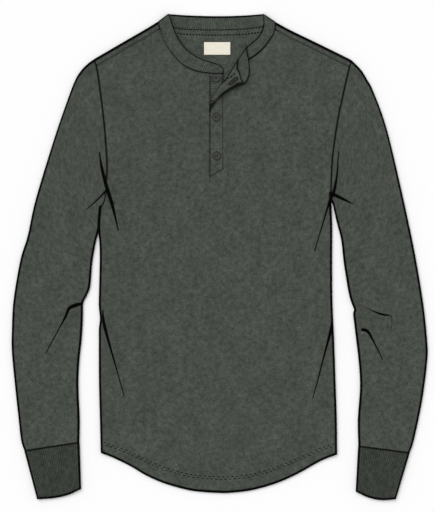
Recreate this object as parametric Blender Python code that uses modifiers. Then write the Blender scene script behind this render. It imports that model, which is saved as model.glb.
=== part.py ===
"""Henley shirt laid flat, front side up.

Each cut piece is a closed wall of cloth. Its middle surface is a grid of points worked out
from the outlines, seams and folds below, and the wall is that surface moved out to both sides.
Tables and sizes are in millimetres; x runs to the wearer's left, y to the neck, z up out of the
front. The meshes are in metres.
"""
import math

import bmesh
import bpy
import numpy as np

MM = 0.001
MARGIN = 1.0         # room when places in plan are compared

# Cloth.
CLOTH = 1.3          # wall of the body knit
RIB_CLOTH = 2.0      # wall of the doubled rib: neckband and cuffs
SEAM = 0.36          # space between two pieces at a seam
LAYER = 0.3          # space between two layers that lie on each other
HEM_DEPTH = 20.0     # turned-up hem
HEM_STEP = 1.5       # over which the hem's second layer ends
HEM_RAISE = 0.5      # the hem's second layer
RIB_PITCH = 3.4      # one rib and its groove
RIB_RAISE = 0.45

# Heights of the two layers of the flat garment, at the middle of their walls.
BACK_LEVEL = CLOTH / 2
FRONT_LEVEL = CLOTH * 1.5 + LAYER
FOLD_RADIUS = 2.2    # how far in from a folded edge the wall turns
FOLD_LEVEL = 2.4     # height of the folded edge
LOFT = 1.9           # how much the front stands up along a folded edge
LOFT_REACH = 12.0
EDGE_STEPS = (0.0, 0.3, 2.2, 6.0, 13.0)
SHOULDER_DROP = EDGE_STEPS[-1]   # from the shoulder fold forward to the shoulder seam

# Outlines: (x, y) rows, from the hem up, of the middle of the wall.
RIGHT_SIDE = ((-188.7, -313.0), (-190.8, -261.0), (-192.0, -197.0), (-192.2, -133.0),
              (-192.2, -69.0), (-191.7, -5.0), (-191.2, 40.0), (-189.6, 68.0), (-185.0, 95.0))
LEFT_SIDE = ((186.4, -315.0), (185.5, -261.0), (183.6, -197.0), (181.3, -133.0),
             (179.4, -69.0), (178.6, -5.0), (178.0, 46.0), (177.9, 82.0), (178.2, 102.0))
RIGHT_ARMHOLE = ((-185.0, 95.0), (-181.5, 112.0), (-180.0, 135.0), (-180.2, 155.0),
                 (-181.4, 176.0), (-184.8, 216.0), (-189.3, 254.0), (-194.6, 293.0),
                 (-198.5, 313.5))
LEFT_ARMHOLE = ((178.2, 102.0), (179.0, 124.0), (180.3, 150.0), (182.9, 176.0),
                (188.6, 215.4), (196.5, 254.4), (204.6, 290.0), (209.3, 312.5))
RIGHT_SHOULDER = ((-198.5, 313.5), (-178.2, 330.6), (-149.4, 346.7), (-122.4, 362.2),
                  (-97.6, 375.0))
LEFT_SHOULDER = ((209.3, 312.5), (179.8, 330.6), (146.2, 346.7), (112.6, 362.6), (89.3, 372.6))
HEM = ((-188.7, -313.0), (-168.5, -320.5), (-142.2, -333.3), (-116.2, -346.5), (-90.1, -358.2),
       (-64.0, -367.3), (-37.8, -373.2), (0.8, -376.0), (18.9, -375.0), (45.0, -371.3),
       (71.2, -363.6), (97.3, -354.4), (123.4, -342.5), (149.4, -328.4), (165.1, -320.8),
       (186.4, -315.0))

# Rows of the front and the back between the hem and the armpits, and columns along a shoulder.
FRONT_HEIGHTS = (-264.0, -240.0, -222.0, -204.0, -186.0, -168.0, -150.0, -132.0, -114.0,
                 -94.0, -70.0, -36.0, 0.0, 25.0, 44.0, 60.0, 78.0)
BACK_HEIGHTS = (-293.0, -200.0, -100.0, 0.0)
SHOULDER_STEPS = (0.0, 0.3, 2.2, 6.0, 11.0, 16.0, 21.0, 26.0, 32.0, 42.0, 62.0, 88.0, 117.0)
NECK_COLUMNS = 7
BACK_NECK_COLUMNS = 6
FLAT_ANGLE = math.radians(0.4)   # neighbouring faces that turn less than this are one face

# Sleeves: the folded edges from the cuff seam up.
RIGHT_INNER = ((-225.4, -296.6), (-225.2, -260.0), (-226.8, -220.0), (-226.8, -190.0),
               (-224.6, -160.0), (-222.0, -130.0), (-220.4, -98.0), (-218.4, -74.0),
               (-212.6, -61.0), (-208.9, -46.0), (-205.0, -8.0), (-199.0, 24.0),
               (-194.6, 46.0), (-192.0, 66.0), (-186.8, 95.0))
RIGHT_OUTER = ((-310.0, -309.4), (-316.7, -292.8), (-321.2, -260.8), (-327.8, -196.8),
               (-330.9, -116.8), (-329.2, -68.8), (-318.1, -4.8), (-293.8, 91.2),
               (-264.5, 187.2), (-243.2, 251.2), (-230.4, 283.2), (-220.6, 298.6),
               (-198.5, 313.5))
LEFT_INNER = ((223.9, -302.7), (223.3, -261.0), (224.8, -215.0), (224.6, -190.0),
              (222.9, -160.0), (219.6, -130.0), (216.6, -100.0), (213.6, -80.0),
              (209.0, -62.0), (204.0, -36.8), (199.3, -4.8), (194.9, 27.2), (189.4, 59.2),
              (184.0, 83.0), (180.0, 102.0))
LEFT_OUTER = ((302.9, -313.0), (308.7, -292.8), (322.6, -228.8), (330.8, -164.8),
              (330.3, -132.8), (323.4, -68.8), (306.1, 27.2), (278.6, 155.2),
              (261.3, 219.2), (243.1, 267.2), (234.8, 283.2), (225.2, 298.6), (209.3, 312.5))
SLEEVE_ROWS = 20
INNER_LEAD = 1.7     # the short inner edge is used up sooner than the long outer one
ARMHOLE_MIDDLE = 8   # columns of a sleeve's layer between the ones near its folds
ARMPIT_FADE = 5.0
CUFF_LIFT = 0.9      # the sleeve's front rises to the thicker cuff
OUTWARD = (-1.0, 1.0)    # which way the grids' normals point on the right and the left

# Cuffs: the open end, from the inner to the outer fold.
RIGHT_CUFF_END = ((-222.3, -370.9), (-241.6, -379.3), (-265.0, -384.2), (-290.8, -385.7))
LEFT_CUFF_END = ((219.1, -374.4), (238.2, -383.1), (259.2, -387.8), (281.0, -388.3))
CUFF_ROWS = 2
CUFF_BACK_MIDDLE = 3
CUFF_EDGE = 0.5
CUFF_LOFT = 1.0
CUFF_FOLD_LEVEL = 2.6
CUFF_FOLD_RADIUS = 2.3
CUFF_END_TAPER = 0.7

# Neckband: its seam and its top edge, from the shoulder corner to the front edge.
RIGHT_BAND_SEAM = ((-97.6, 375.0), (-94.4, 362.6), (-90.4, 351.2), (-82.6, 335.5),
                   (-68.3, 317.0), (-54.1, 304.8), (-37.0, 297.9), (-16.0, 294.1), (6.4, 293.5))
RIGHT_BAND_TOP = ((-80.8, 388.4), (-77.3, 378.6), (-73.3, 366.4), (-66.7, 351.2),
                  (-56.0, 335.7), (-44.0, 325.1), (-28.8, 316.5), (-12.8, 311.5),
                  (-1.5, 307.6), (4.4, 302.6), (6.4, 297.6))
LEFT_BAND_SEAM = ((89.3, 372.6), (88.2, 360.4), (80.5, 346.6), (68.8, 332.3), (57.4, 322.8),
                  (46.7, 315.8), (32.8, 307.4), (18.4, 300.4), (4.0, 295.6), (-16.5, 293.4))
LEFT_BAND_TOP = ((69.4, 388.4), (70.6, 378.4), (69.4, 366.9), (64.5, 355.5), (55.6, 346.0),
                 (44.4, 336.8), (29.6, 327.0), (14.6, 319.0), (0.0, 313.2), (-10.0, 309.4),
                 (-14.6, 305.0), (-16.5, 299.6))
BACK_BAND_SEAM = ((-97.6, 375.0), (-85.6, 370.2), (-71.2, 366.2), (-54.1, 363.8),
                  (-25.4, 362.6), (-4.0, 362.4), (17.4, 362.9), (38.9, 364.0),
                  (57.4, 366.4), (74.4, 369.4), (89.3, 372.6))
BACK_BAND_TOP = ((-80.8, 388.4), (-54.1, 385.2), (-25.4, 383.4), (-4.0, 383.1),
                 (17.4, 383.4), (45.9, 385.2), (69.4, 388.4))
BAND_ROWS = (0.0, 0.5, 0.9, 1.0)     # across the band, seam to top edge
BAND_TAPER = (1.0, 1.0, 0.9, 0.5)    # its wall there
BAND_RISE = 2.6      # how much the top edge stands above the seam in front
BAND_FOLD_RADIUS = 3.0
BAND_FOLD_LEVEL = 3.0
BAND_LOFT = 2.2
BAND_EDGE = 0.5
BAND_RISE_FADE = 26.0

# Placket: a slit in the front, its right edge sewn to the underlap, its left to the overlap.
PLACKET_LEFT = 5.6       # seam of the overlap
PLACKET_RIGHT = -16.0    # seam of the underlap
PLACKET_FOOT = (128.0, 140.8)    # the foot's height at the right and left seam
PLACKET_LIP = 1.0        # how far the overlap covers the underlap's seam
PLACKET_LIFT = CLOTH + LAYER     # the overlap lies on the underlap
LIFT_REACH = 14.0
PLACKET_ROWS = 16
FOOT_ROWS = 3            # rows of the front on each side of the foot that are drawn to its slant
FOOT_REACH = 30.0        # and how far beside the placket they are

# The turned-out corner: a roll whose line leaves the overlap's free edge.
ROLL_START = (-16.0, 236.0)
ROLL_ANGLE = math.radians(57.0)
ROLL_RADIUS = 2.6
ROLL_SKEW = 0.4          # the knit is drawn up along the roll as it turns
ROLL_SAG = 2.2           # how far the turned cloth settles
ROLL_SAG_REACH = 25.0
ROLL_STEPS = 6
ROLL_LEAD = 8.0          # the cloth this far short of the roll is cut to it too
ROLL_TOP = 350.0         # above this the neckband stays as it lies
ROLL_DIRECTION = (math.cos(ROLL_ANGLE), math.sin(ROLL_ANGLE))
ROLL_NORMAL = (-math.sin(ROLL_ANGLE), math.cos(ROLL_ANGLE))

# Folds in the front: start, middle and end of each, how high its ridge stands, how far the
# ridge runs out, and on which side of the line it lies (1 left, -1 right of start to end).
FOLDS = (
    # start            middle            end               height reach side
    ((-193.0, 166.0), (-180.5, 108.0), (-160.0, 38.0), 4.2, 13.0, 1),    # right armpit
    ((-183.0, 106.0), (-197.0, 90.0), (-216.0, 74.0), 2.6, 9.0, -1),     # right underarm
    ((189.0, 168.0), (179.0, 106.0), (150.0, 6.0), 4.2, 13.0, -1),       # left armpit
    ((180.0, 106.0), (196.0, 94.0), (216.0, 84.0), 2.6, 9.0, 1),         # left underarm
    ((-220.0, -76.0), (-250.0, -92.0), (-280.0, -156.0), 4.6, 14.0, 1),  # right elbow
    ((216.0, -72.0), (254.0, -88.0), (286.0, -98.0), 4.4, 13.0, 1),      # left elbow
    ((225.0, -116.0), (246.0, -128.0), (263.0, -166.0), 3.4, 11.0, -1),  # left elbow, lower
    ((-190.0, -88.0), (-176.0, -148.0), (-152.0, -226.0), 3.6, 13.0, 1),   # right waist
    ((182.0, -100.0), (170.0, -156.0), (145.0, -236.0), 3.6, 13.0, -1),    # left waist
)
FOLD_STEEP = 4.5         # width of a fold's steep flank
FOLD_LEAN = 0.7          # below 1 a fold is highest before its middle
FOLD_FULLNESS = 0.8      # below 1 it rises quickly at its ends

# Buttons and label.
BUTTONS = ((-5.6, 286.0), (-5.1, 223.4), (-4.6, 161.6))      # the first is on the underlap
BUTTON_RADIUS = 6.5
BUTTON_THICKNESS = 2.4
BUTTON_RIM = 1.2         # width of the raised rim
BUTTON_DISH = 0.6        # depth of the dished middle
BUTTON_HOLE_RADIUS = 0.9
BUTTON_HOLE_OFFSET = 1.5
BUTTON_SIDES = 18
LABEL_CENTRE = (-3.7, 334.0)
LABEL_SIZE = (42.0, 20.2, 0.8)
LABEL_CORNER = 0.6

KNIT_COLOUR = (0.067, 0.074, 0.063, 1.0)
RIB_COLOUR = (0.044, 0.050, 0.042, 1.0)
BUTTON_COLOUR = (0.040, 0.042, 0.036, 1.0)
LABEL_COLOUR = (0.80, 0.76, 0.64, 1.0)


# ---------------------------------------------------------------- curves and heights

def smooth_curve(rows, pieces=16):
    """A dense line of points on a smooth curve through the rows."""
    points = np.array(rows, float)
    ends = np.vstack([2 * points[0] - points[1], points, 2 * points[-1] - points[-2]])
    line = []
    for before, start, end, after in zip(ends, ends[1:], ends[2:], ends[3:]):
        for step in np.linspace(0.0, 1.0, pieces, endpoint=False):
            line.append(0.5 * (2 * start + (end - before) * step
                               + (2 * before - 5 * start + 4 * end - after) * step ** 2
                               + (3 * start - before - 3 * end + after) * step ** 3))
    line.append(points[-1])
    return np.array(line)


def lengths(line):
    """Distance along the line at each of its points."""
    return np.concatenate([[0.0], np.cumsum(np.linalg.norm(np.diff(line, axis=0), axis=1))])


def points_at(line, distances):
    """Points of the line at the given distances along it."""
    along = lengths(line)
    return np.column_stack([np.interp(distances, along, line[:, axis]) for axis in (0, 1)])


def distance_to(line, x, y):
    """Distance in plan from each point to the line, how far along it the nearest place is,
    from 0 to 1, and on which side the point lies, 1 for the left."""
    x, y = np.asarray(x, float), np.asarray(y, float)
    best = np.full(x.shape, np.inf)
    place = np.zeros(x.shape)
    side = np.ones(x.shape)
    along = lengths(line) / lengths(line)[-1]
    for index in range(len(line) - 1):
        start, step = line[index], line[index + 1] - line[index]
        part = ((x - start[0]) * step[0] + (y - start[1]) * step[1]) / (step @ step)
        part = np.clip(part, 0.0, 1.0)
        off_x = x - start[0] - part * step[0]
        off_y = y - start[1] - part * step[1]
        gap = np.hypot(off_x, off_y)
        nearer = gap < best
        best = np.where(nearer, gap, best)
        place = np.where(nearer, along[index] + part * (along[index + 1] - along[index]), place)
        side = np.where(nearer, np.where(step[0] * off_y - step[1] * off_x >= 0, 1, -1), side)
    return best, place, side


def ease(value):
    """0 below 0, 1 above 1 and smooth between."""
    part = np.clip(value, 0.0, 1.0)
    return part * part * (3.0 - 2.0 * part)


def edge_round(distance, radius):
    """0 on a folded edge, rising to 1 a radius in from it, like a quarter circle."""
    share = np.clip(distance / radius, 0.0, 1.0)
    return np.sqrt(1.0 - (1.0 - share) ** 2)


FOLD_LINES = tuple(smooth_curve(row[:3], 8) for row in FOLDS)
SIDE_LINES = (smooth_curve(RIGHT_SIDE), smooth_curve(LEFT_SIDE))
ARMHOLE_LINES = (smooth_curve(RIGHT_ARMHOLE), smooth_curve(LEFT_ARMHOLE))
SHOULDER_LINES = (smooth_curve(RIGHT_SHOULDER), smooth_curve(LEFT_SHOULDER))
BAND_SEAM_LINES = (smooth_curve(RIGHT_BAND_SEAM), smooth_curve(LEFT_BAND_SEAM))
BACK_NECK_LINE = smooth_curve(BACK_BAND_SEAM)
HEM_LINE = smooth_curve(HEM)


def fold_height(x, y):
    """How much the drawn-up folds raise the front layer: each is steep on one side."""
    total = np.zeros(np.shape(x))
    for line, (_, _, _, height, reach, ridge_side) in zip(FOLD_LINES, FOLDS):
        gap, place, side = distance_to(line, x, y)
        across = gap * side * ridge_side
        steep = ease((across + FOLD_STEEP) / FOLD_STEEP)
        gentle = ease(1.0 - across / reach)
        fade = np.sin(np.pi * place ** FOLD_LEAN) ** FOLD_FULLNESS
        total = np.maximum(total, height * fade * np.where(across < 0, steep, gentle))
    return total


def placket_lift(x, y):
    """The overlap, and the front beside it, lie a cloth higher, on the underlap."""
    beside = np.where(x > PLACKET_LEFT, 1.0 - ease((x - PLACKET_LEFT) / LIFT_REACH), 1.0)
    above_foot = ease((y - PLACKET_FOOT[0] + LIFT_REACH) / LIFT_REACH)
    return PLACKET_LIFT * beside * above_foot


def side_distance(x, y):
    """Distance to the nearer side fold, or to the armpit for points above it."""
    gaps = []
    for line, inward in zip(SIDE_LINES, (1.0, -1.0)):
        armpit = line[-1]
        edge = np.interp(np.minimum(y, armpit[1]), line[:, 1], line[:, 0])
        gaps.append(np.hypot(inward * (x - edge), np.maximum(0.0, y - armpit[1])))
    return np.minimum(*gaps)


def fold_distance(x, y):
    """Distance to the nearest folded edge of the body: a side or a shoulder."""
    shoulders = [distance_to(line, x, y)[0] for line in SHOULDER_LINES]
    return np.minimum(side_distance(x, y), np.minimum(*shoulders))


def front_height(x, y, edge):
    """Middle of the front layer's wall at a distance from the nearest folded edge."""
    loft = LOFT * np.exp(-(edge / LOFT_REACH) ** 2)
    top = FRONT_LEVEL + loft + fold_height(x, y)
    return FOLD_LEVEL + (top - FOLD_LEVEL) * edge_round(edge, FOLD_RADIUS)


def back_height(edge):
    """Middle of the back layer's wall at a distance from the nearest folded edge."""
    return FOLD_LEVEL + (BACK_LEVEL - FOLD_LEVEL) * edge_round(edge, FOLD_RADIUS)


def sheet_height(x, y):
    """Middle of the front's left half, carried on over the placket and past the neck seam."""
    return front_height(x, y, fold_distance(x, y)) + placket_lift(x, y)


# ---------------------------------------------------------------- walls

def grid_normals(grid, closed=False):
    """Unit normals of a grid of points, from its own rows and columns."""
    if closed:
        across = np.roll(grid, -1, axis=1) - np.roll(grid, 1, axis=1)
    else:
        across = np.gradient(grid, axis=1)
    normal = np.cross(across, np.gradient(grid, axis=0))
    return normal / np.linalg.norm(normal, axis=2, keepdims=True)


def wall_mesh(outer, inner, closed=False, present=None, turns=None):
    """A closed bmesh between two grids of points. present says which cells there are, and
    turns which points belong to the turned-out corner."""
    rows, columns = outer.shape[:2]
    cells = columns if closed else columns - 1
    if present is None:
        present = np.ones((rows - 1, cells), bool)
    mesh = bmesh.new()
    turning = mesh.verts.layers.float.new("turning")
    made = {}

    def vertex(layer, row, column):
        key = (layer, row, column % columns)
        if key not in made:
            made[key] = mesh.verts.new((outer, inner)[layer][row, column % columns].tolist())
            made[key][turning] = float(turns is not None and turns[row, column])
        return made[key]

    def is_present(row, column):
        column = column % cells if closed else column
        return 0 <= row < rows - 1 and 0 <= column < cells and present[row, column]

    for row, column in np.argwhere(present).tolist():
        corners = ((row, column), (row, column + 1), (row + 1, column + 1), (row + 1, column))
        beside = ((row - 1, column), (row, column + 1), (row + 1, column), (row, column - 1))
        mesh.faces.new([vertex(0, *corner) for corner in corners])
        mesh.faces.new([vertex(1, *corner) for corner in reversed(corners)])
        for start, end, neighbour in zip(corners, corners[1:] + corners[:1], beside):
            if not is_present(*neighbour):
                mesh.faces.new([vertex(0, *end), vertex(0, *start),
                                vertex(1, *start), vertex(1, *end)])
    bmesh.ops.recalc_face_normals(mesh, faces=mesh.faces)
    return mesh


def pull_back(edge, inside, amount=SEAM / 2):
    """Points of a seam's edge, moved towards the points inside it to leave the seam's room."""
    step = inside - edge
    return edge + step / np.linalg.norm(step, axis=-1, keepdims=True) * amount


def seam_direction(points):
    """Directions in plan along a seam at each of its points."""
    step = np.gradient(points[..., :2], axis=0)
    return step / np.linalg.norm(step, axis=-1, keepdims=True)


def stand_in_seam(normal, direction):
    """Normals turned into the upright surface along a seam, which the wall then ends flush
    with, so that it stays clear of the piece on the other side."""
    along = np.sum(normal[..., :2] * direction, axis=-1, keepdims=True)
    turned = np.concatenate([along * direction, normal[..., 2:]], axis=-1)
    return turned / np.linalg.norm(turned, axis=-1, keepdims=True)


def join_flat(mesh):
    """Makes one face of neighbouring faces that lie flat to each other."""
    turning = mesh.verts.layers.float["turning"]
    verts = [corner for corner in mesh.verts if corner[turning] < 0.5]
    edges = [edge for edge in mesh.edges if max(end[turning] for end in edge.verts) < 0.5]
    bmesh.ops.dissolve_limit(mesh, angle_limit=FLAT_ANGLE, verts=verts, edges=edges)


def material(name, colour, roughness):
    finish = bpy.data.materials.new(name)
    finish.use_nodes = True
    shader = finish.node_tree.nodes["Principled BSDF"]
    shader.inputs["Base Color"].default_value = colour
    shader.inputs["Roughness"].default_value = roughness
    shader.inputs["Metallic"].default_value = 0.0
    return finish


def add_piece(name, mesh, colour, roughness=0.9):
    """Makes a bmesh in millimetres into a named object in metres."""
    bmesh.ops.scale(mesh, vec=(MM, MM, MM), verts=mesh.verts)
    data = bpy.data.meshes.new(name)
    mesh.to_mesh(data)
    mesh.free()
    data.materials.append(material(name + "_finish", colour, roughness))
    SHIRT.objects.link(bpy.data.objects.new(name, data))


# ---------------------------------------------------------------- the turned-out corner

def roll_place(x, y):
    """How far a point lies beyond the roll line, and how far along it."""
    off_x, off_y = x - ROLL_START[0], y - ROLL_START[1]
    beyond = off_x * ROLL_NORMAL[0] + off_y * ROLL_NORMAL[1]
    along = off_x * ROLL_DIRECTION[0] + off_y * ROLL_DIRECTION[1]
    return beyond, along


def turning_points(x, y):
    """Which points lie on the turned-out corner or just short of its roll."""
    beyond, along = roll_place(x, y)
    return (beyond > -ROLL_LEAD) & (along > -ROLL_LEAD) & (y < ROLL_TOP)


def rolled(x, y, z):
    """Where the turned-out corner carries a point of the flat front."""
    beyond, along = roll_place(x, y)
    if beyond <= 0.0:
        return x, y, z
    foot = [start + step * along for start, step in zip(ROLL_START, ROLL_DIRECTION)]
    radius = ROLL_RADIUS - (z - float(sheet_height(x, y)))
    turn = min(beyond / ROLL_RADIUS, math.pi)
    flat = max(0.0, beyond - math.pi * ROLL_RADIUS)
    left = radius * math.sin(turn) - flat
    drawn = ROLL_SKEW * beyond
    sag = ROLL_SAG * float(ease(flat / ROLL_SAG_REACH))
    return (foot[0] + ROLL_NORMAL[0] * left + ROLL_DIRECTION[0] * drawn,
            foot[1] + ROLL_NORMAL[1] * left + ROLL_DIRECTION[1] * drawn,
            float(sheet_height(*foot)) + ROLL_RADIUS - radius * math.cos(turn) - sag)


def turn_out(mesh):
    """Cuts a flat piece along the roll and turns out the part that lies beyond it."""
    turning = mesh.verts.layers.float["turning"]
    for level in np.linspace(0.0, math.pi * ROLL_RADIUS, ROLL_STEPS + 1):
        place = [start + step * level for start, step in zip(ROLL_START, ROLL_NORMAL)]
        zone = {face for corner in mesh.verts if corner[turning] > 0.5
                for face in corner.link_faces}
        edges = {edge for face in zone for edge in face.edges}
        corners = {corner for face in zone for corner in face.verts}
        bmesh.ops.bisect_plane(mesh, geom=[*corners, *edges, *zone], dist=0.02,
                               plane_co=(*place, 0.0), plane_no=(*ROLL_NORMAL, 0.0))
    bmesh.ops.triangulate(mesh, faces=[face for face in mesh.faces if len(face.verts) > 4])
    turned = [corner for corner in mesh.verts if corner[turning] > 0.5]
    zone = {face for corner in turned for face in corner.link_faces if len(face.verts) > 3}
    bmesh.ops.triangulate(mesh, faces=list(zone))
    for corner in turned:
        corner.co = rolled(*corner.co)


# ---------------------------------------------------------------- front and back

def side_rows(side, heights, armhole_steps):
    """Points down one edge of a panel, from the hem up: the side fold, then the armhole."""
    line, armhole = SIDE_LINES[side], ARMHOLE_LINES[side]
    heights = (line[0, 1], *heights, line[-1, 1])
    along = np.interp(heights, line[:, 1], lengths(line))
    return np.vstack([points_at(line, along), points_at(armhole, armhole_steps)])


def neck_columns(line, start, stop, count):
    """Points along a neck seam from a distance along it to where it crosses x = stop."""
    order = np.argsort(line[:, 0])
    stop_at = np.interp(stop, line[order, 0], lengths(line)[order])
    return points_at(line, np.linspace(start, stop_at, count + 1))


def back_neck_columns(side):
    """Points along the back neck's seam, from a shoulder corner to above the placket's edge."""
    line = (BACK_NECK_LINE, BACK_NECK_LINE[::-1])[side]
    even = neck_columns(line, 0.0, (PLACKET_RIGHT, PLACKET_LEFT)[side], BACK_NECK_COLUMNS)
    return np.insert(even, 1, points_at(line, [FOLD_RADIUS]), axis=0)


def back_neck_seam():
    """The back neck's seam from the right shoulder corner to the left one."""
    right, left = back_neck_columns(0), back_neck_columns(1)
    return np.vstack([right, (right[-1:] + left[-1:]) / 2, left[::-1]])


def corner_direction(side):
    """Direction in plan in which the walls stand at a corner of the neck, on the shoulder
    fold: between the front's seam and the back's."""
    front = seam_direction(points_at(BAND_SEAM_LINES[side], EDGE_STEPS))[0]
    back = seam_direction(back_neck_columns(side))[0]
    return (front + back) / np.linalg.norm(front + back)


def shoulder_columns(side, drop):
    """Points along a shoulder, a distance forward of its fold, from the armhole to the neck."""
    fold = SHOULDER_LINES[side]
    armhole = ARMHOLE_LINES[side]
    tip = points_at(armhole, [lengths(armhole)[-1] - drop])[0]
    corner = points_at(BAND_SEAM_LINES[side], [drop])[0]
    share = np.array(SHOULDER_STEPS)[:, None] / SHOULDER_STEPS[-1]
    line = points_at(fold, share[:, 0] * lengths(fold)[-1])
    return line + (tip - fold[0]) * (1.0 - share) + (corner - fold[-1]) * share


def panel_plan(edges, tops):
    """Plan points of a panel: its rows run from one edge to the other, its columns from the
    hem to the top edge, the middle one on the placket's own middle."""
    halves = []
    for edge, top in zip(edges, tops):
        stop = top[-1, 0]
        share = (top[:, 0] - top[0, 0]) / (stop - top[0, 0])
        x = edge[:, :1] + share * (stop - edge[:, :1])
        hem = np.interp(x[0], HEM_LINE[:, 0], HEM_LINE[:, 1])
        rise = (edge[:, 1:] - edge[0, 1]) / (edge[-1, 1] - edge[0, 1])
        halves.append(np.dstack([x, hem + rise * (top[:, 1] - hem)]))
    right, left = halves
    middle = (right[:, -1:] + left[:, -1:]) / 2
    return np.hstack([right, middle, left[:, ::-1]])


def stand_side_folds(grid, normal, level):
    """On the side folds the wall stands upright and ends just off the other panel's."""
    for column, line in zip((0, -1), SIDE_LINES):
        rows = grid[:, column, 1] <= line[-1, 1] + 0.01
        grid[rows, column, 2] = level
        normal[rows, column, 2] = 0.0
        normal[rows, column] /= np.linalg.norm(normal[rows, column], axis=1, keepdims=True)


def clear_armholes(grid, normal, fold_row):
    """Pulls the edges above the armpits back from the sleeves. fold_row is the highest row
    below or on the shoulder fold."""
    for column, inside, line in zip((0, -1), (1, -2), SIDE_LINES):
        first = int(np.argmax(grid[:, column, 1] > line[-1, 1] + 0.01))
        rows = np.arange(first, len(grid))
        direction = seam_direction(grid[first:fold_row + 1, column])
        direction = direction[np.minimum(rows, fold_row) - first]
        normal[rows, column] = stand_in_seam(normal[rows, column], direction)
        grid[rows, column] = pull_back(grid[rows, column], grid[rows, inside])


def armhole_steps(side):
    """Distances up an armhole at which the panels and the sleeve meet."""
    return steps_across(lengths(ARMHOLE_LINES[side])[-1], ARMHOLE_MIDDLE)


def steps_across(width, middle):
    """Distances across a width: close at both folded edges and even between them."""
    edge = np.array(EDGE_STEPS)
    between = np.linspace(edge[-1], width - edge[-1], middle + 2)[1:-1]
    return np.concatenate([edge, between, width - edge[::-1]])


def front_tops():
    """The front's top edge on each side: shoulder seam, then neckline to the placket."""
    tops = []
    for side, stop in enumerate((PLACKET_RIGHT, PLACKET_LEFT)):
        seam = shoulder_columns(side, SHOULDER_DROP)
        neck = neck_columns(BAND_SEAM_LINES[side], SHOULDER_DROP, stop, NECK_COLUMNS)
        tops.append(np.vstack([seam, neck[1:]]))
    return tops


def make_front():
    fold_steps = len(EDGE_STEPS) - 1
    edges = []
    for side, line in enumerate(SIDE_LINES):
        hem_top = line[0, 1] + HEM_DEPTH
        heights = (hem_top, hem_top + HEM_STEP, *FRONT_HEIGHTS)
        edges.append(side_rows(side, heights, armhole_steps(side)[1:-fold_steps]))
    plan = panel_plan(edges, front_tops())
    x, y = plan[:, :, 0], plan[:, :, 1]
    half = len(SHOULDER_STEPS) + NECK_COLUMNS
    slit = slice(half - 1, half + 2)
    foot = np.interp(x[0], (PLACKET_RIGHT, PLACKET_LEFT), PLACKET_FOOT)
    foot_row = int(np.argmin(np.abs(y[:, half] - foot[half])))
    # The rows near the placket's foot are drawn to its slant.
    near_row = np.clip(1.0 - np.abs(np.arange(len(y)) - foot_row) / FOOT_ROWS, 0.0, 1.0)
    beside = np.maximum(PLACKET_RIGHT - x[0], x[0] - PLACKET_LEFT).clip(0)
    near_slit = np.exp(-(beside / FOOT_REACH) ** 2)
    y += near_row[:, None] * ((foot - y[foot_row]) * near_slit)[None]
    lift = np.where(x > PLACKET_RIGHT + MARGIN, placket_lift(x, y), 0.0)
    grid = np.dstack([x, y, front_height(x, y, fold_distance(x, y)) + lift])
    normal = grid_normals(grid)
    stand_side_folds(grid, normal, FOLD_LEVEL + SEAM / 2)
    clear_armholes(grid, normal, len(grid) - 1)
    normal[-1] = stand_in_seam(normal[-1], seam_direction(grid[-1]))
    grid[-1] = pull_back(grid[-1], grid[-2])
    for column, inside in ((half - 1, half - 2), (half + 1, half + 2)):
        grid[foot_row:, column] = pull_back(grid[foot_row:, column], grid[foot_row:, inside])
    grid[foot_row, slit, 1] -= SEAM / 2
    outer = grid + normal * CLOTH / 2
    outer[:2, :, 2] += HEM_RAISE
    present = np.ones((len(grid) - 1, grid.shape[1] - 1), bool)
    present[foot_row:, half - 1:half + 1] = False
    turns = (x > PLACKET_LEFT - MARGIN) & turning_points(x, y)
    mesh = wall_mesh(outer, grid - normal * CLOTH / 2, present=present, turns=turns)
    join_flat(mesh)
    turn_out(mesh)
    add_piece("front_panel", mesh, KNIT_COLOUR)


def wrap_rows(fold, slices):
    """Rows of the back beyond the shoulder fold, down to the forward shoulder seam."""
    rows = []
    for step in EDGE_STEPS[1:]:
        row = fold.copy()
        for side, where in enumerate(slices):
            seam = shoulder_columns(side, SHOULDER_DROP)[::(1, -1)[side]]
            plan = row[where, :2] + (seam - row[where, :2]) * step / SHOULDER_DROP
            x, y = plan.T
            row[where] = np.column_stack([plan, front_height(x, y, fold_distance(x, y))])
        rows.append(row)
    return np.array(rows)


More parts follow.
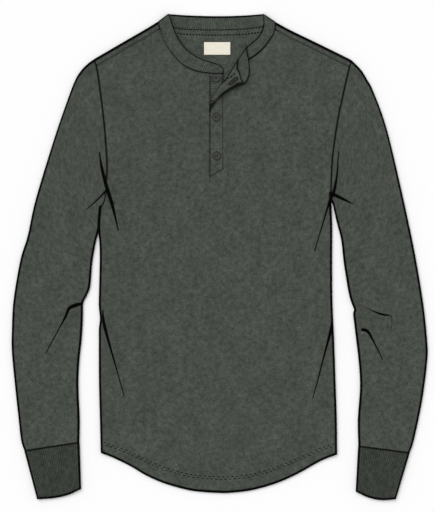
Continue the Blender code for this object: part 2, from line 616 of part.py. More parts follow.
def make_back():
    """The back lies under the front and wraps over both shoulders to their seams."""
    edges = [side_rows(side, BACK_HEIGHTS, armhole_steps(side)[1:]) for side in (0, 1)]
    tops = [np.vstack([shoulder_columns(side, 0.0), back_neck_columns(side)[1:]])
            for side in (0, 1)]
    plan = panel_plan(edges, tops)
    columns, fold_row = plan.shape[1], len(plan) - 1
    corners = (len(SHOULDER_STEPS) - 1, columns - len(SHOULDER_STEPS))
    shoulders = (slice(0, corners[0] + 1), slice(corners[1], columns))
    neck = slice(corners[0] + 1, corners[1])
    grid = np.dstack([plan, back_height(fold_distance(plan[:, :, 0], plan[:, :, 1]))])
    grid = np.vstack([grid, wrap_rows(grid[-1], shoulders)])
    present = np.ones((len(grid) - 1, columns - 1), bool)
    present[fold_row:, corners[0]:corners[1]] = False
    # Above the neck's edge there is no cloth: these rows only keep the normals upright.
    grid[fold_row + 1:, neck, 1] += 2.0 * np.arange(1, len(grid) - fold_row)[:, None]
    normal = -grid_normals(grid)
    stand_side_folds(grid, normal, FOLD_LEVEL - SEAM / 2)
    clear_armholes(grid, normal, fold_row)
    seam = slice(corners[0], corners[1] + 1)
    direction = seam_direction(grid[fold_row, seam])
    normal[fold_row, seam] = stand_in_seam(normal[fold_row, seam], direction)
    grid[fold_row, seam] = pull_back(grid[fold_row, seam], grid[fold_row - 1, seam])
    for side, (corner, where) in enumerate(zip(corners, shoulders)):
        grid[-1, where] = pull_back(grid[-1, where], grid[-2, where])
        inside = corner + (-1, 1)[side]
        direction = seam_direction(grid[fold_row:, corner])
        direction[0] = corner_direction(side)
        normal[fold_row:, corner] = stand_in_seam(normal[fold_row:, corner], direction)
        grid[fold_row:, corner] = pull_back(grid[fold_row:, corner], grid[fold_row:, inside])
    mesh = wall_mesh(grid + normal * CLOTH / 2, grid - normal * CLOTH / 2, present=present)
    join_flat(mesh)
    add_piece("back_panel", mesh, KNIT_COLOUR)


# ---------------------------------------------------------------- sleeves and cuffs

def sleeve_plan(side, inner_line, outer_line):
    """Plan points of one layer of a sleeve: rows from the cuff seam to the armhole, columns
    from the inner to the outer fold."""
    armhole, steps = ARMHOLE_LINES[side], armhole_steps(side)
    top = points_at(armhole, steps)
    # At the armpit the sleeve's own fold lies beside the body's.
    top += (inner_line[-1] - armhole[0]) * np.exp(-steps / ARMPIT_FADE)[:, None]
    chord = top[0] + (top[-1] - top[0]) * (steps / steps[-1])[:, None]
    reach = np.linspace(0.0, 1.0, SLEEVE_ROWS + 1)
    outer = points_at(outer_line, reach * lengths(outer_line)[-1])
    inner = points_at(inner_line, (1.0 - (1.0 - reach) ** INNER_LEAD) * lengths(inner_line)[-1])
    rows = []
    for share, start, end in zip(reach, inner, outer):
        width = np.linalg.norm(end - start)
        across = (steps_across(width, ARMHOLE_MIDDLE) / width)[:, None]
        rows.append(start + (end - start) * across + (top - chord) * share ** 3)
    rows[-1] = top
    return np.array(rows)


def make_sleeve(name, side, inner_rows, outer_rows):
    plan = sleeve_plan(side, smooth_curve(inner_rows), smooth_curve(outer_rows))
    x, y = plan[:, :, 0], plan[:, :, 1]
    edge = np.minimum(np.hypot(x - x[:, :1], y - y[:, :1]), np.hypot(x - x[:, -1:], y - y[:, -1:]))
    from_cuff = np.hypot(x - x[:1], y - y[:1])
    swell = CUFF_LIFT * np.exp(-(from_cuff / LOFT_REACH) ** 2) * edge_round(edge, FOLD_RADIUS)
    front = np.dstack([plan, front_height(x, y, edge) + swell])
    back = np.dstack([plan, back_height(edge)])
    ring = np.hstack([front, back[:, -2:0:-1]])
    normal = grid_normals(ring, closed=True) * OUTWARD[side]
    armhole = seam_direction(plan[-1])
    normal[-1] = stand_in_seam(normal[-1], np.vstack([armhole, armhole[-2:0:-1]]))
    normal[0] = stand_in_seam(normal[0], seam_direction(plan[0])[:1])
    ring[0] = pull_back(ring[0], ring[1])
    ring[-1] = pull_back(ring[-1], ring[-2])
    mesh = wall_mesh(ring + normal * CLOTH / 2, ring - normal * CLOTH / 2, closed=True)
    join_flat(mesh)
    add_piece(name, mesh, KNIT_COLOUR)


def make_cuff(name, side, inner_start, outer_start, end_rows):
    """A ribbed tube: rows from the open end to the sleeve, ribs on the layer that faces up."""
    end_line = smooth_curve(end_rows)
    start, stop = np.array(inner_start), np.array(outer_start)
    width = np.linalg.norm(stop - start)
    ribs = round(width / RIB_PITCH)
    front_share = np.concatenate([[0.0, CUFF_EDGE / width], np.arange(1, 2 * ribs) / (2 * ribs),
                                  [1.0 - CUFF_EDGE / width, 1.0]])
    back_share = steps_across(width, CUFF_BACK_MIDDLE)[1:-1] / width
    share = np.concatenate([front_share, back_share[::-1]])
    low = points_at(end_line, share * lengths(end_line)[-1])
    high = start + (stop - start) * share[:, None]
    reach = np.linspace(0.0, 1.0, CUFF_ROWS + 1)[:, None, None]
    plan = low + (high - low) * reach
    edge = np.minimum(share, 1.0 - share) * width
    level = RIB_CLOTH * 1.5 + LAYER + CUFF_LOFT * np.exp(-(edge / LOFT_REACH) ** 2)
    level[len(front_share):] = RIB_CLOTH / 2
    height = CUFF_FOLD_LEVEL + (level - CUFF_FOLD_LEVEL) * edge_round(edge, CUFF_FOLD_RADIUS)
    ring = np.dstack([plan, np.tile(height, (len(plan), 1))])
    normal = grid_normals(ring, closed=True) * OUTWARD[side]
    normal[-1] = stand_in_seam(normal[-1], (stop - start) / width)
    ring[-1] = pull_back(ring[-1], ring[-2])
    rib = np.zeros(len(share))
    rib[2:len(front_share) - 2:2] = RIB_RAISE
    thick = np.full(len(plan), RIB_CLOTH / 2)
    thick[0] *= CUFF_END_TAPER
    outer = ring + normal * (thick[:, None] + rib)[:, :, None]
    mesh = wall_mesh(outer, ring - normal * thick[:, None, None], closed=True)
    add_piece(name, mesh, RIB_COLOUR)


# ---------------------------------------------------------------- neckband

def band_steps(width, both_ends):
    """Distances along the band from a shoulder corner, two to a rib."""
    ribs = round(width / RIB_PITCH)
    steps = np.arange(1, 2 * ribs + 1) / (2 * ribs) * width
    start = [0.0, BAND_EDGE]
    if both_ends:
        return np.concatenate([start, steps[:-1], [width - BAND_EDGE, width]])
    return np.concatenate([start, steps])


def band_arc(seam_line, top_line, both_ends=False):
    """Plan points of a stretch of the band, (rows, stations, 2), with each station's distance
    from the nearest corner."""
    width = (lengths(seam_line)[-1] + lengths(top_line)[-1]) / 2
    steps = band_steps(width, both_ends)
    seam = points_at(seam_line, steps / width * lengths(seam_line)[-1])
    top = points_at(top_line, steps / width * lengths(top_line)[-1])
    plan = np.array([seam + (top - seam) * share for share in BAND_ROWS])
    edge = np.minimum(steps, width - steps) if both_ends else steps
    return plan, edge


def band_seam(side):
    """The band's seam in front, with the same corners as the neckline it is sewn to."""
    line = BAND_SEAM_LINES[side]
    neck = neck_columns(line, SHOULDER_DROP, (PLACKET_RIGHT, PLACKET_LEFT)[side], NECK_COLUMNS)
    return np.vstack([line[:1], neck, line[-1:]])


def make_neckband():
    """One strip: from the underlap's edge up to the right shoulder corner, under and along the
    back neck, up and over the left corner, and down to the overlap's end."""
    right, right_edge = band_arc(band_seam(0), smooth_curve(RIGHT_BAND_TOP))
    left, left_edge = band_arc(band_seam(1), smooth_curve(LEFT_BAND_TOP))
    back, back_edge = band_arc(back_neck_seam(), smooth_curve(BACK_BAND_TOP), both_ends=True)
    share = np.array(BAND_ROWS)[:, None]
    rows = []
    for plan, edge, free in ((right, right_edge, right_edge[-1] - right_edge),
                             (left, left_edge, -roll_place(left[:, :, 0], left[:, :, 1])[0])):
        rise = BAND_RISE * share ** 2 * ease((free - BAND_EDGE) / BAND_RISE_FADE)
        loft = BAND_LOFT * np.exp(-(edge / LOFT_REACH) ** 2)
        level = CLOTH + LAYER + RIB_CLOTH / 2 + rise + loft
        round_up = edge_round(edge, BAND_FOLD_RADIUS)
        rows.append(BAND_FOLD_LEVEL + (level - BAND_FOLD_LEVEL) * round_up)
    rows[1] = rows[1] + placket_lift(left[:, :, 0], left[:, :, 1])
    under = BAND_FOLD_LEVEL + (RIB_CLOTH / 2 - BAND_FOLD_LEVEL) * edge_round(back_edge,
                                                                             BAND_FOLD_RADIUS)
    under = np.tile(under, (len(BAND_ROWS), 1))
    stretches = (np.dstack([right, rows[0]])[:, ::-1], np.dstack([back, under])[:, 1:-1],
                 np.dstack([left, rows[1]]))
    grid = np.hstack(stretches)
    normal = -grid_normals(grid)
    counts = [stretch.shape[1] for stretch in stretches]
    direction = np.vstack([seam_direction(stretch[0]) for stretch in stretches])
    direction[counts[0] - 1] = corner_direction(0)
    direction[counts[0] + counts[1]] = corner_direction(1)
    normal[0] = stand_in_seam(normal[0], direction)
    grid[0] = pull_back(grid[0], grid[1])
    number = np.arange(grid.shape[1])
    beyond, _ = roll_place(grid[:, :, 0], grid[:, :, 1])
    on_left = number >= counts[0] + counts[1]
    turned = on_left & (beyond > ROLL_RADIUS)
    rib = RIB_RAISE * (number % 2) * np.abs(normal[:, :, 2]) * (share < 1.0)
    faces_up = np.where(turned, normal[:, :, 2] < 0, normal[:, :, 2] > 0)
    thick = RIB_CLOTH / 2 * np.array(BAND_TAPER)[:, None]
    outer = grid + normal * (thick + np.where(faces_up, rib, 0.0))[:, :, None]
    inner = grid - normal * (thick + np.where(faces_up, 0.0, rib))[:, :, None]
    turns = on_left & turning_points(grid[:, :, 0], grid[:, :, 1])
    mesh = wall_mesh(outer, inner, turns=turns)
    turn_out(mesh)
    add_piece("neckband", mesh, RIB_COLOUR)


# ---------------------------------------------------------------- placket, buttons, label

def strip_plan(low_x, high_x, side, columns, rows, foot_gap):
    """Plan points of a placket strip from its slanted foot to the neckband's seam."""
    x = np.linspace(low_x, high_x, columns + 1)
    seam = band_seam(side)
    order = np.argsort(seam[:, 0])
    top = np.interp(x, seam[order, 0], seam[order, 1]) - SEAM / 2
    slope = (PLACKET_FOOT[1] - PLACKET_FOOT[0]) / (PLACKET_LEFT - PLACKET_RIGHT)
    foot = PLACKET_FOOT[0] + (x - PLACKET_RIGHT) * slope + foot_gap
    share = np.linspace(0.0, 1.0, rows + 1)[:, None]
    return np.tile(x, (rows + 1, 1)), foot + (top - foot) * share


def make_placket_under():
    x, y = strip_plan(PLACKET_RIGHT + SEAM / 2, PLACKET_LEFT - SEAM / 2, 0, 2, 6, SEAM / 2)
    grid = np.dstack([x, y, np.full(x.shape, FRONT_LEVEL)])
    half = np.array((0.0, 0.0, CLOTH / 2))
    add_piece("placket_under", wall_mesh(grid + half, grid - half), KNIT_COLOUR)


def make_placket_over():
    x, y = strip_plan(PLACKET_RIGHT - PLACKET_LIP, PLACKET_LEFT - SEAM / 2, 1, 5,
                      PLACKET_ROWS, SEAM / 2)
    grid = np.dstack([x, y, sheet_height(x, y)])
    normal = grid_normals(grid)
    mesh = wall_mesh(grid + normal * CLOTH / 2, grid - normal * CLOTH / 2,
                     turns=turning_points(x, y))
    turn_out(mesh)
    add_piece("placket_over", mesh, KNIT_COLOUR)


def make_button(number, x, y, base):
    """A turned disc with a raised rim and a dished middle, and four holes through it."""
    radius, thick, rim = BUTTON_RADIUS, BUTTON_THICKNESS, BUTTON_RIM
    profile = ((0.0, thick - BUTTON_DISH), (radius - 2 * rim, thick - BUTTON_DISH),
               (radius - rim, thick), (radius - 0.4 * rim, thick), (radius, thick * 0.7),
               (radius, thick * 0.35), (radius - 0.7 * rim, 0.0), (0.0, 0.0))
    data = bpy.data.meshes.new(f"button_{number}")
    data.from_pydata([(r * MM, 0.0, z * MM) for r, z in profile],
                     [(step, step + 1) for step in range(len(profile) - 1)], [])
    data.materials.append(material(f"button_{number}_finish", BUTTON_COLOUR, 0.35))
    button = bpy.data.objects.new(f"button_{number}", data)
    button.location = (x * MM, y * MM, base * MM)
    SHIRT.objects.link(button)
    turn = button.modifiers.new("turn", "SCREW")
    turn.steps = turn.render_steps = BUTTON_SIDES
    turn.use_merge_vertices = True
    turn.merge_threshold = 0.00001
    punch = bmesh.new()
    for quarter in range(4):
        angle = math.radians(45.0 + 90.0 * quarter)
        made = bmesh.ops.create_cone(punch, cap_ends=True, segments=8, depth=3 * thick * MM,
                                     radius1=BUTTON_HOLE_RADIUS * MM,
                                     radius2=BUTTON_HOLE_RADIUS * MM)
        offset = (math.cos(angle) * BUTTON_HOLE_OFFSET * MM,
                  math.sin(angle) * BUTTON_HOLE_OFFSET * MM, thick / 2 * MM)
        bmesh.ops.translate(punch, vec=offset, verts=made["verts"])
    punch_data = bpy.data.meshes.new(f"holes_{number}")
    punch.to_mesh(punch_data)
    punch.free()
    cutter = bpy.data.objects.new(f"holes_{number}", punch_data)
    cutter.location = button.location
    cutter.hide_render = True
    cutter.display_type = "WIRE"
    CUTTERS.objects.link(cutter)
    cut = button.modifiers.new("holes", "BOOLEAN")
    cut.operation = "DIFFERENCE"
    cut.object = cutter


def make_label():
    """A flat woven label on the inside of the back, under the neck seam."""
    mesh = bmesh.new()
    bmesh.ops.create_cube(mesh, size=1.0)
    bmesh.ops.scale(mesh, vec=LABEL_SIZE, verts=mesh.verts)
    upright = [edge for edge in mesh.edges if abs(edge.verts[0].co.z - edge.verts[1].co.z) > 0.1]
    bmesh.ops.bevel(mesh, geom=upright, offset=LABEL_CORNER, segments=2, profile=0.5,
                    affect="EDGES", material=-1)
    bmesh.ops.translate(mesh, verts=mesh.verts,
                        vec=(*LABEL_CENTRE, CLOTH + LAYER + LABEL_SIZE[2] / 2))
    add_piece("label", mesh, LABEL_COLOUR, 0.7)


def main():
    for old in list(bpy.data.objects):
        bpy.data.objects.remove(old, do_unlink=True)
    bpy.context.scene.collection.children.link(SHIRT)
    bpy.context.scene.collection.children.link(CUTTERS)
    make_back()
    make_front()
    make_sleeve("right_sleeve", 0, RIGHT_INNER, RIGHT_OUTER)
    make_sleeve("left_sleeve", 1, LEFT_INNER, LEFT_OUTER)
    make_cuff("right_cuff", 0, RIGHT_INNER[0], RIGHT_OUTER[0], RIGHT_CUFF_END)
    make_cuff("left_cuff", 1, LEFT_INNER[0], LEFT_OUTER[0], LEFT_CUFF_END)
    make_neckband()
    make_placket_under()
    make_placket_over()
    on_under = CLOTH * 2 + LAYER * 2
    on_over = on_under + PLACKET_LIFT
    for number, ((x, y), base) in enumerate(zip(BUTTONS, (on_under, on_over, on_over)), 1):
        make_button(number, x, y, base)
    make_label()


SHIRT = bpy.data.collections.new("henley_shirt")
CUTTERS = bpy.data.collections.new("cutters")
main()
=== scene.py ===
"""Henley shirt: the cloth, ribs, sewing, buttons and label of a shirt laid flat, front side up.

Tables and plan sizes are in millimetres, as the panels are; x runs to the wearer's left, y to
the neck and z up out of the front. A finished mesh is scaled to metres. The properties are in
metres. Run main() to build the shirt around its frame.
"""
import math

import bmesh
import bpy
import numpy as np
from bpy.props import FloatProperty, FloatVectorProperty, PointerProperty
from mathutils import Matrix, Vector


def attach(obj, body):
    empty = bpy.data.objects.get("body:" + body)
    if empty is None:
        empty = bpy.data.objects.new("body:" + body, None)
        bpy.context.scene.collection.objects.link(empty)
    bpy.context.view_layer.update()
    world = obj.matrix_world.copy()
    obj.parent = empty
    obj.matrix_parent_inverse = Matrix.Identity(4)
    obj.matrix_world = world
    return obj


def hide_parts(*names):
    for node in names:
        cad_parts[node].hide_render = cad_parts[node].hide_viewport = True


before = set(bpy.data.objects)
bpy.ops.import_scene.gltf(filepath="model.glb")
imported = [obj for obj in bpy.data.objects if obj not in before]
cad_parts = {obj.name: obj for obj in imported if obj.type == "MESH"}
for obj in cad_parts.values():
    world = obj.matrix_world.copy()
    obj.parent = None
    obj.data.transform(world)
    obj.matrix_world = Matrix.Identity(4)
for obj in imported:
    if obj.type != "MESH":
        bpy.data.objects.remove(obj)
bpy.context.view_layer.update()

bl_info = {
    "name": "Henley Shirt",
    "version": (1, 0, 0),
    "blender": (4, 5, 0),
    "location": "3D View > Sidebar > Henley",
    "description": "Builds a henley shirt laid flat, with its ribs, sewing, buttons and label",
    "category": "Mesh",
}

MM = 0.001
BODY = "root"
MARGIN = 1.0         # room when places in plan are compared

# ---------------------------------------------------------------- sizes of the panels

SEAM = 0.1           # space between two pieces at a seam
LAYER = 0.3          # space between two layers that lie on each other
FOLD_RADIUS = 2.2    # how far in from a folded edge the cloth turns
FOLD_LEVEL = 2.4     # height of the folded edge
LOFT = 1.9           # how much the front stands up along a folded edge
LOFT_REACH = 12.0
SHOULDER_DROP = 11.3     # from the shoulder fold forward to the shoulder seam

# Outlines: (x, y) rows, from the hem up, of the middle of the cloth.
RIGHT_SIDE = ((-189.3, -313.2), (-190.6, -261.0), (-192.2, -197.0), (-192.4, -133.0),
              (-192.2, -114.0), (-190.6, -99.0), (-192.3, -80.0), (-192.4, -69.0), (-190.9, -5.0),
              (-191.6, 24.0), (-193.0, 37.0), (-192.9, 52.0), (-192.5, 62.0), (-191.3, 73.0),
              (-190.6, 80.0), (-186.6, 83.0), (-184.2, 88.5), (-182.9, 95.0))
LEFT_SIDE = ((187.5, -315.7), (186.9, -261.0), (184.9, -197.0), (182.6, -133.0), (179.9, -69.0),
             (179.4, -5.0), (179.6, 46.0), (178.5, 82.0), (178.2, 102.0))
RIGHT_ARMHOLE = ((-182.9, 95.0), (-181.3, 112.0), (-180.0, 135.0), (-180.2, 155.0),
                 (-181.4, 176.0), (-184.8, 216.0), (-189.3, 254.0), (-194.6, 293.0),
                 (-199.6, 316.4))
LEFT_ARMHOLE = ((178.2, 102.0), (179.0, 124.0), (180.3, 150.0), (182.9, 176.0),
                (188.6, 215.4), (196.5, 254.4), (204.6, 290.0), (210.4, 314.6))
RIGHT_SHOULDER = ((-199.6, 316.4), (-177.3, 329.3), (-148.9, 345.9), (-121.9, 361.4),
                  (-97.8, 376.0))
LEFT_SHOULDER = ((210.4, 314.6), (179.5, 330.0), (146.0, 346.3), (112.5, 362.5), (89.6, 375.0))
HEM = ((-189.3, -313.2), (-168.9, -321.5), (-142.7, -334.3), (-117.5, -349.2), (-91.2, -360.9),
       (-64.5, -369.1), (-38.0, -374.6), (0.8, -377.4), (19.1, -376.9), (45.6, -374.0),
       (72.5, -367.6), (99.0, -358.6), (125.3, -346.4), (151.2, -331.8), (166.3, -324.1),
       (187.5, -315.7))

# Sleeves: the folded edges from the cuff seam up.
RIGHT_INNER = ((-224.6, -296.6), (-224.1, -260.0), (-225.8, -220.0), (-226.0, -190.0),
               (-224.1, -160.0), (-220.9, -130.1), (-219.0, -98.1), (-218.4, -74.0),
               (-212.4, -61.1), (-207.3, -46.2), (-203.9, -8.1), (-198.7, 22.1), (-195.0, 37.0),
               (-193.8, 47.0), (-193.6, 60.0), (-192.7, 73.0), (-192.0, 80.0), (-188.0, 83.0),
               (-185.8, 88.5), (-184.6, 95.0))
RIGHT_OUTER = ((-311.2, -309.9), (-316.7, -292.8), (-320.4, -260.7), (-327.3, -196.8),
               (-331.5, -150.0), (-331.4, -116.8), (-328.7, -68.9), (-317.8, -4.9), (-306.2, 33.6),
               (-293.5, 91.1), (-264.3, 187.2), (-242.4, 250.9), (-230.0, 283.0), (-220.3, 298.3),
               (-210.2, 308.5), (-199.6, 316.4))
LEFT_INNER = ((222.5, -302.7), (221.7, -261.0), (225.0, -215.0), (224.9, -190.0), (222.4, -160.0),
              (218.8, -130.1), (215.2, -100.2), (214.3, -89.5), (216.0, -84.5), (213.0, -77.0),
              (208.2, -62.2), (203.5, -36.9), (198.7, -4.9), (195.1, 27.2), (187.2, 58.9),
              (181.9, 82.9), (179.3, 90.5), (178.8, 102.0))
LEFT_OUTER = ((303.2, -313.1), (310.1, -293.1), (323.4, -228.9), (331.6, -164.9), (331.3, -132.7),
              (324.3, -68.7), (307.4, 27.5), (279.1, 155.3), (262.2, 219.5), (244.0, 267.6),
              (235.4, 283.5), (225.7, 299.0), (210.4, 314.6))
INNER_LEAD = 1.7     # the short inner edge is used up sooner than the long outer one
ARMPIT_FADE = 5.0
TOUCH_FOOT = 42.0        # the shade between sleeve and body changes its width above this,
TOUCH_HEAD = 80.0        # again above this,
TOUCH_END = 125.0        # and has its common width above this
TOUCH_REACH = 4.0
TOUCH_SHARES = (0.18, 1.5)       # how much narrower it gets on the right at the first two
ARMPIT_SHARE = -0.15     # on the left it is wider
ARMHOLE_LINE = 0.65      # how much wider the shade is along an armhole's seam,
SHOULDER_LINE = 0.8      # a shoulder
CAP_LINE = 0.8           # and the outer fold of a sleeve near its top
CAP_REACH = (230.0, 50.0)        # from this height up, over this far
CUFF_SIDE_LINE = 1.35    # how much narrower the shade is along its folds
CUFF_END_LINE = 0.8      # and wider along its open end
CUFF_SEAM_LINE = 0.7     # how much wider the shade is at the cuff's seam
CUFF_LIFT = 0.9      # the sleeve's front rises to the thicker cuff

# Cuffs: the open end, from the inner to the outer fold.
RIGHT_CUFF_END = ((-222.2, -371.2), (-241.3, -380.2), (-264.8, -385.5), (-290.7, -387.3))
LEFT_CUFF_END = ((218.6, -375.4), (237.7, -384.5), (259.1, -388.8), (281.0, -387.3))
CUFF_LOFT = 1.0          # how much its front stands up along its folds
CUFF_FOLD_LEVEL = 2.6    # height of a folded edge
CUFF_RIB_SHARE = 0.88    # its ribs are finer than the neckband's
CUFF_FOLD_RADIUS = 2.3   # how far in from it the ribbing turns

# Neckband: its seam and its top edge, from the shoulder corner to the front edge.
RIGHT_BAND_SEAM = ((-97.8, 376.0), (-94.4, 362.6), (-90.4, 351.2), (-82.6, 335.5),
                   (-68.3, 317.0), (-54.1, 304.8), (-37.0, 297.9), (-16.0, 294.1), (6.4, 293.5))
RIGHT_BAND_TOP = ((-80.8, 388.4), (-77.3, 378.6), (-73.3, 366.4), (-66.7, 351.2),
                  (-56.0, 335.7), (-44.0, 325.1), (-28.8, 316.5), (-12.8, 311.5),
                  (-1.5, 307.6), (4.4, 302.6), (6.4, 297.6))
LEFT_BAND_SEAM = ((89.6, 375.0), (88.2, 360.4), (80.5, 346.6), (68.8, 332.3), (57.4, 322.8),
                  (46.7, 315.8), (32.8, 309.0), (17.6, 304.0), (7.2, 296.0), (-5.3, 292.2),
                  (-16.5, 293.4))
LEFT_BAND_TOP = ((69.4, 388.4), (70.6, 378.4), (69.4, 366.9), (64.5, 355.5), (55.6, 346.0),
                 (44.4, 336.8), (33.0, 331.0), (18.6, 320.8), (9.1, 317.4), (1.9, 316.3),
                 (-4.0, 314.0), (-10.5, 309.2), (-15.2, 303.4), (-16.8, 297.8))
BACK_BAND_SEAM = ((-97.8, 376.0), (-85.6, 371.0), (-71.2, 367.0), (-54.1, 364.8),
                  (-25.4, 363.7), (-4.0, 363.5), (17.4, 363.9), (38.9, 364.9),
                  (57.4, 367.0), (74.4, 370.4), (89.6, 375.0))
BACK_BAND_TOP = ((-80.8, 388.4), (-54.1, 386.6), (-25.4, 385.5), (-4.0, 385.2),
                 (17.4, 385.4), (45.9, 386.6), (69.4, 388.4))
BAND_RISE = 2.6      # how much the top edge stands above the seam in front
BAND_RISE_FADE = 26.0
BAND_FOLD_RADIUS = 3.0
BAND_FOLD_LEVEL = 3.0
BAND_LOFT = 2.2          # how much it stands up beside the shoulder corners in front
BAND_RISE_START = 0.5    # from its free end, where the rise starts
BAND_FOLD_MARK = 1.2     # the fold mark on its folds at the shoulder corners
RIB_FADE = 1.5           # over which ribs fade toward an open edge
CUFF_RIB_START = 0.2     # from a cuff's open end, where its ribs start
BACK_TOP_LINE = 0.9      # how much narrower the shade is along the back's top edge,
FRONT_TOP_LINES = (2.2, 1.5)     # the front's right and left,
END_LINE = 2.0           # and its two ends
NECK_SEAM_LINE = 0.6     # how much wider it is along the neck seam on the left
TURNED_TOP_LINE = 1.5    # how much narrower along the top edge where it is turned out
TURNED_SEAM_LINE = 0.4   # how much wider it is along the seam there,
TURNED_SEAM_MARK = 0.75  # and its mark on the seam itself, which makes it fainter

# Placket: a slit in the front, its right edge sewn to the underlap, its left to the overlap.
PLACKET_LEFT = 5.6
PLACKET_RIGHT = -16.0
PLACKET_FOOT = (128.0, 140.8)    # the foot's height at the right and left seam
PLACKET_LIP = 0.5                # how far the overlap covers the underlap's seam
UNDERLAP_EDGE = 7.0
# A fainter shade along a placket's edge: how deep it is, how far in it keeps and its rise.
UNDERLAP_SHADE = (2.95, 4.2, 2.0)
SLIT_SHADE = (3.0, 0.0, 0.6)
OVERLAP_SHADE = (3.05, 2.6, 1.5)
# Height in plan and how much narrower the shade is along the overlap's turned edge, then how
# faint it is there, as above.
TURNED_LINE = ((230.0, 1.2), (240.0, 1.1), (254.0, 0.8))
TURNED_SHADE = (2.55, 2.5, 1.0)
LIFT_REACH = 14.0
FOOT_REACH = 30.0                # how far beside the placket rows are drawn to its foot

# The turned-out corner: a roll whose line leaves the overlap's free edge.
ROLL_START = (-17.0, 230.4)
ROLL_ANGLE = math.radians(60.0)
ROLL_RADIUS = 2.6
ROLL_SKEW = 0.4          # the knit is drawn up along the roll as it turns
ROLL_SAG = 1.8           # how far the turned cloth settles
ROLL_SAG_REACH = 25.0
ROLL_SLIDE = 11.0        # how far the cloth beside the roll is drawn up along it
ROLL_SLIDE_RISE = 40.0   # it grows along the roll's foot,
ROLL_SLIDE_FADE = (100.0, 25.0)      # fades at its head
ROLL_SLIDE_CORNER = (16.0, 16.0)     # and fades to the turned corner
ROLL_FOOT = (0.25, 30.0)     # share of the radius at its foot, and how far up it is narrower
# Place along the roll, and how far its crest stands out there.
ROLL_BULGE = ((0.0, 0.0), (4.7, 1.1), (10.0, 3.0), (15.5, 5.0), (20.5, 4.8), (29.0, 3.6),
              (35.5, 2.7), (43.8, 0.9), (53.6, 0.0), (77.3, -0.2), (86.7, -0.7), (98.0, -1.6),
              (111.0, -2.2), (125.0, -3.4))
# Place along the roll, and how far the free edge is drawn back to it there.
ROLL_BOW = ((0.0, 0.0), (6.0, 0.0), (10.0, 1.2), (16.0, 2.6), (22.0, 0.4), (29.0, -2.3),
            (34.0, -2.7), (40.0, -3.2), (45.0, -1.8), (50.0, -1.6), (54.8, -3.0), (58.0, -1.5),
            (64.0, 0.0))
ROLL_EDGE = (0.577, -0.6)    # how far the free edge lies beyond the roll, by place along it
# Up to the first place along the roll the painted shade along the crest is thinner by the last
# number, and it widens over the second.
CREST_FADE = (28.0, 12.0, 1.3)
CREST_LINE = 1.15            # how much narrower the shade is along the crest
ROLL_STEPS = 12
ROLL_LEAD = 8.0          # the cloth this far short of the roll is cut to it too
ROLL_TOP = 350.0         # above this the neckband stays as it lies
ROLL_DIRECTION = (math.cos(ROLL_ANGLE), math.sin(ROLL_ANGLE))
ROLL_NORMAL = (-math.sin(ROLL_ANGLE), math.cos(ROLL_ANGLE))

# Creases: (x, y, width of the trough's painted shade) along each, then how high its ridge
# stands, how far the ridge runs out, and on which side of the line it lies (1 left, -1 right).
# A width below 0 leaves the trough's end without painted shade.
CREASES = (
    # right armpit, and the short one under it
    (((-192.5, 169.9, 0.8), (-188.0, 143.0, 4.0), (-180.0, 111.5, 5.5), (-171.0, 82.4, 4.6),
      (-161.0, 39.8, 0.5)), 4.2, 13.0, 1),
    (((-179.5, 107.6, 2.4), (-194.2, 92.4, 1.6), (-212.0, 76.6, 0.2)), 2.4, 9.0, -1),
    # left armpit, and the short one under it
    (((190.4, 171.2, 0.7), (187.7, 131.5, 2.6), (183.0, 106.2, 4.5), (178.6, 97.0, 5.0),
      (173.9, 83.0, 2.9), (168.2, 64.0, 1.9), (163.6, 48.5, 1.5), (151.2, 6.7, 0.5)), 4.2, 13.0, -1),
    (((183.0, 99.7, 4.0), (191.0, 95.8, 4.2), (203.0, 90.0, 2.6), (217.0, 83.4, -0.6)), 2.4, 9.0, 1),
    # right elbow
    (((-219.5, -74.7, 3.0), (-229.4, -77.1, 5.5), (-240.0, -82.4, 4.6), (-245.9, -95.2, 3.4),
      (-254.0, -110.4, 1.5), (-278.2, -155.0, 0.7)), 4.6, 14.0, 1),
    # left elbow, upper and lower
    (((218.6, -73.0, -1.0), (241.1, -84.2, 0.3), (255.7, -90.4, 2.6), (266.8, -92.8, 2.0),
      (272.6, -93.6, 0.4), (275.9, -100.0, 0.3), (273.6, -124.8, -1.0)), 3.8, 13.0, 1),
    (((225.4, -116.2, 3.0), (232.2, -116.8, 4.6), (238.2, -120.8, 4.0), (246.7, -136.0, 1.9),
      (261.3, -165.1, 0.6)), 3.4, 11.0, -1),
    # right and left waist
    (((-186.6, -83.5, 0.8), (-185.8, -95.0, 2.8), (-183.8, -109.3, 4.6), (-176.8, -136.0, 3.4),
      (-168.3, -165.6, 2.0), (-152.2, -223.0, 0.5)), 3.6, 13.0, 1),
    (((180.5, -103.4, 3.0), (177.1, -120.0, 4.4), (171.5, -141.4, 3.0), (163.7, -170.7, 1.9),
      (155.7, -202.0, 1.3), (148.0, -228.8, 0.5)), 3.6, 13.0, -1),
)
CREASE_FLANK = 1.8       # width of a crease's steep side
CREASE_SHARE = 0.3       # how high the other side stands
CREASE_SPREAD = 1.05     # how much wider its shade is
CREASE_FULLNESS = 0.6    # how soon its ridge reaches its full height as the trough widens
CREASE_ENDS = (0.08, 0.12)       # shares of its length over which it starts and ends

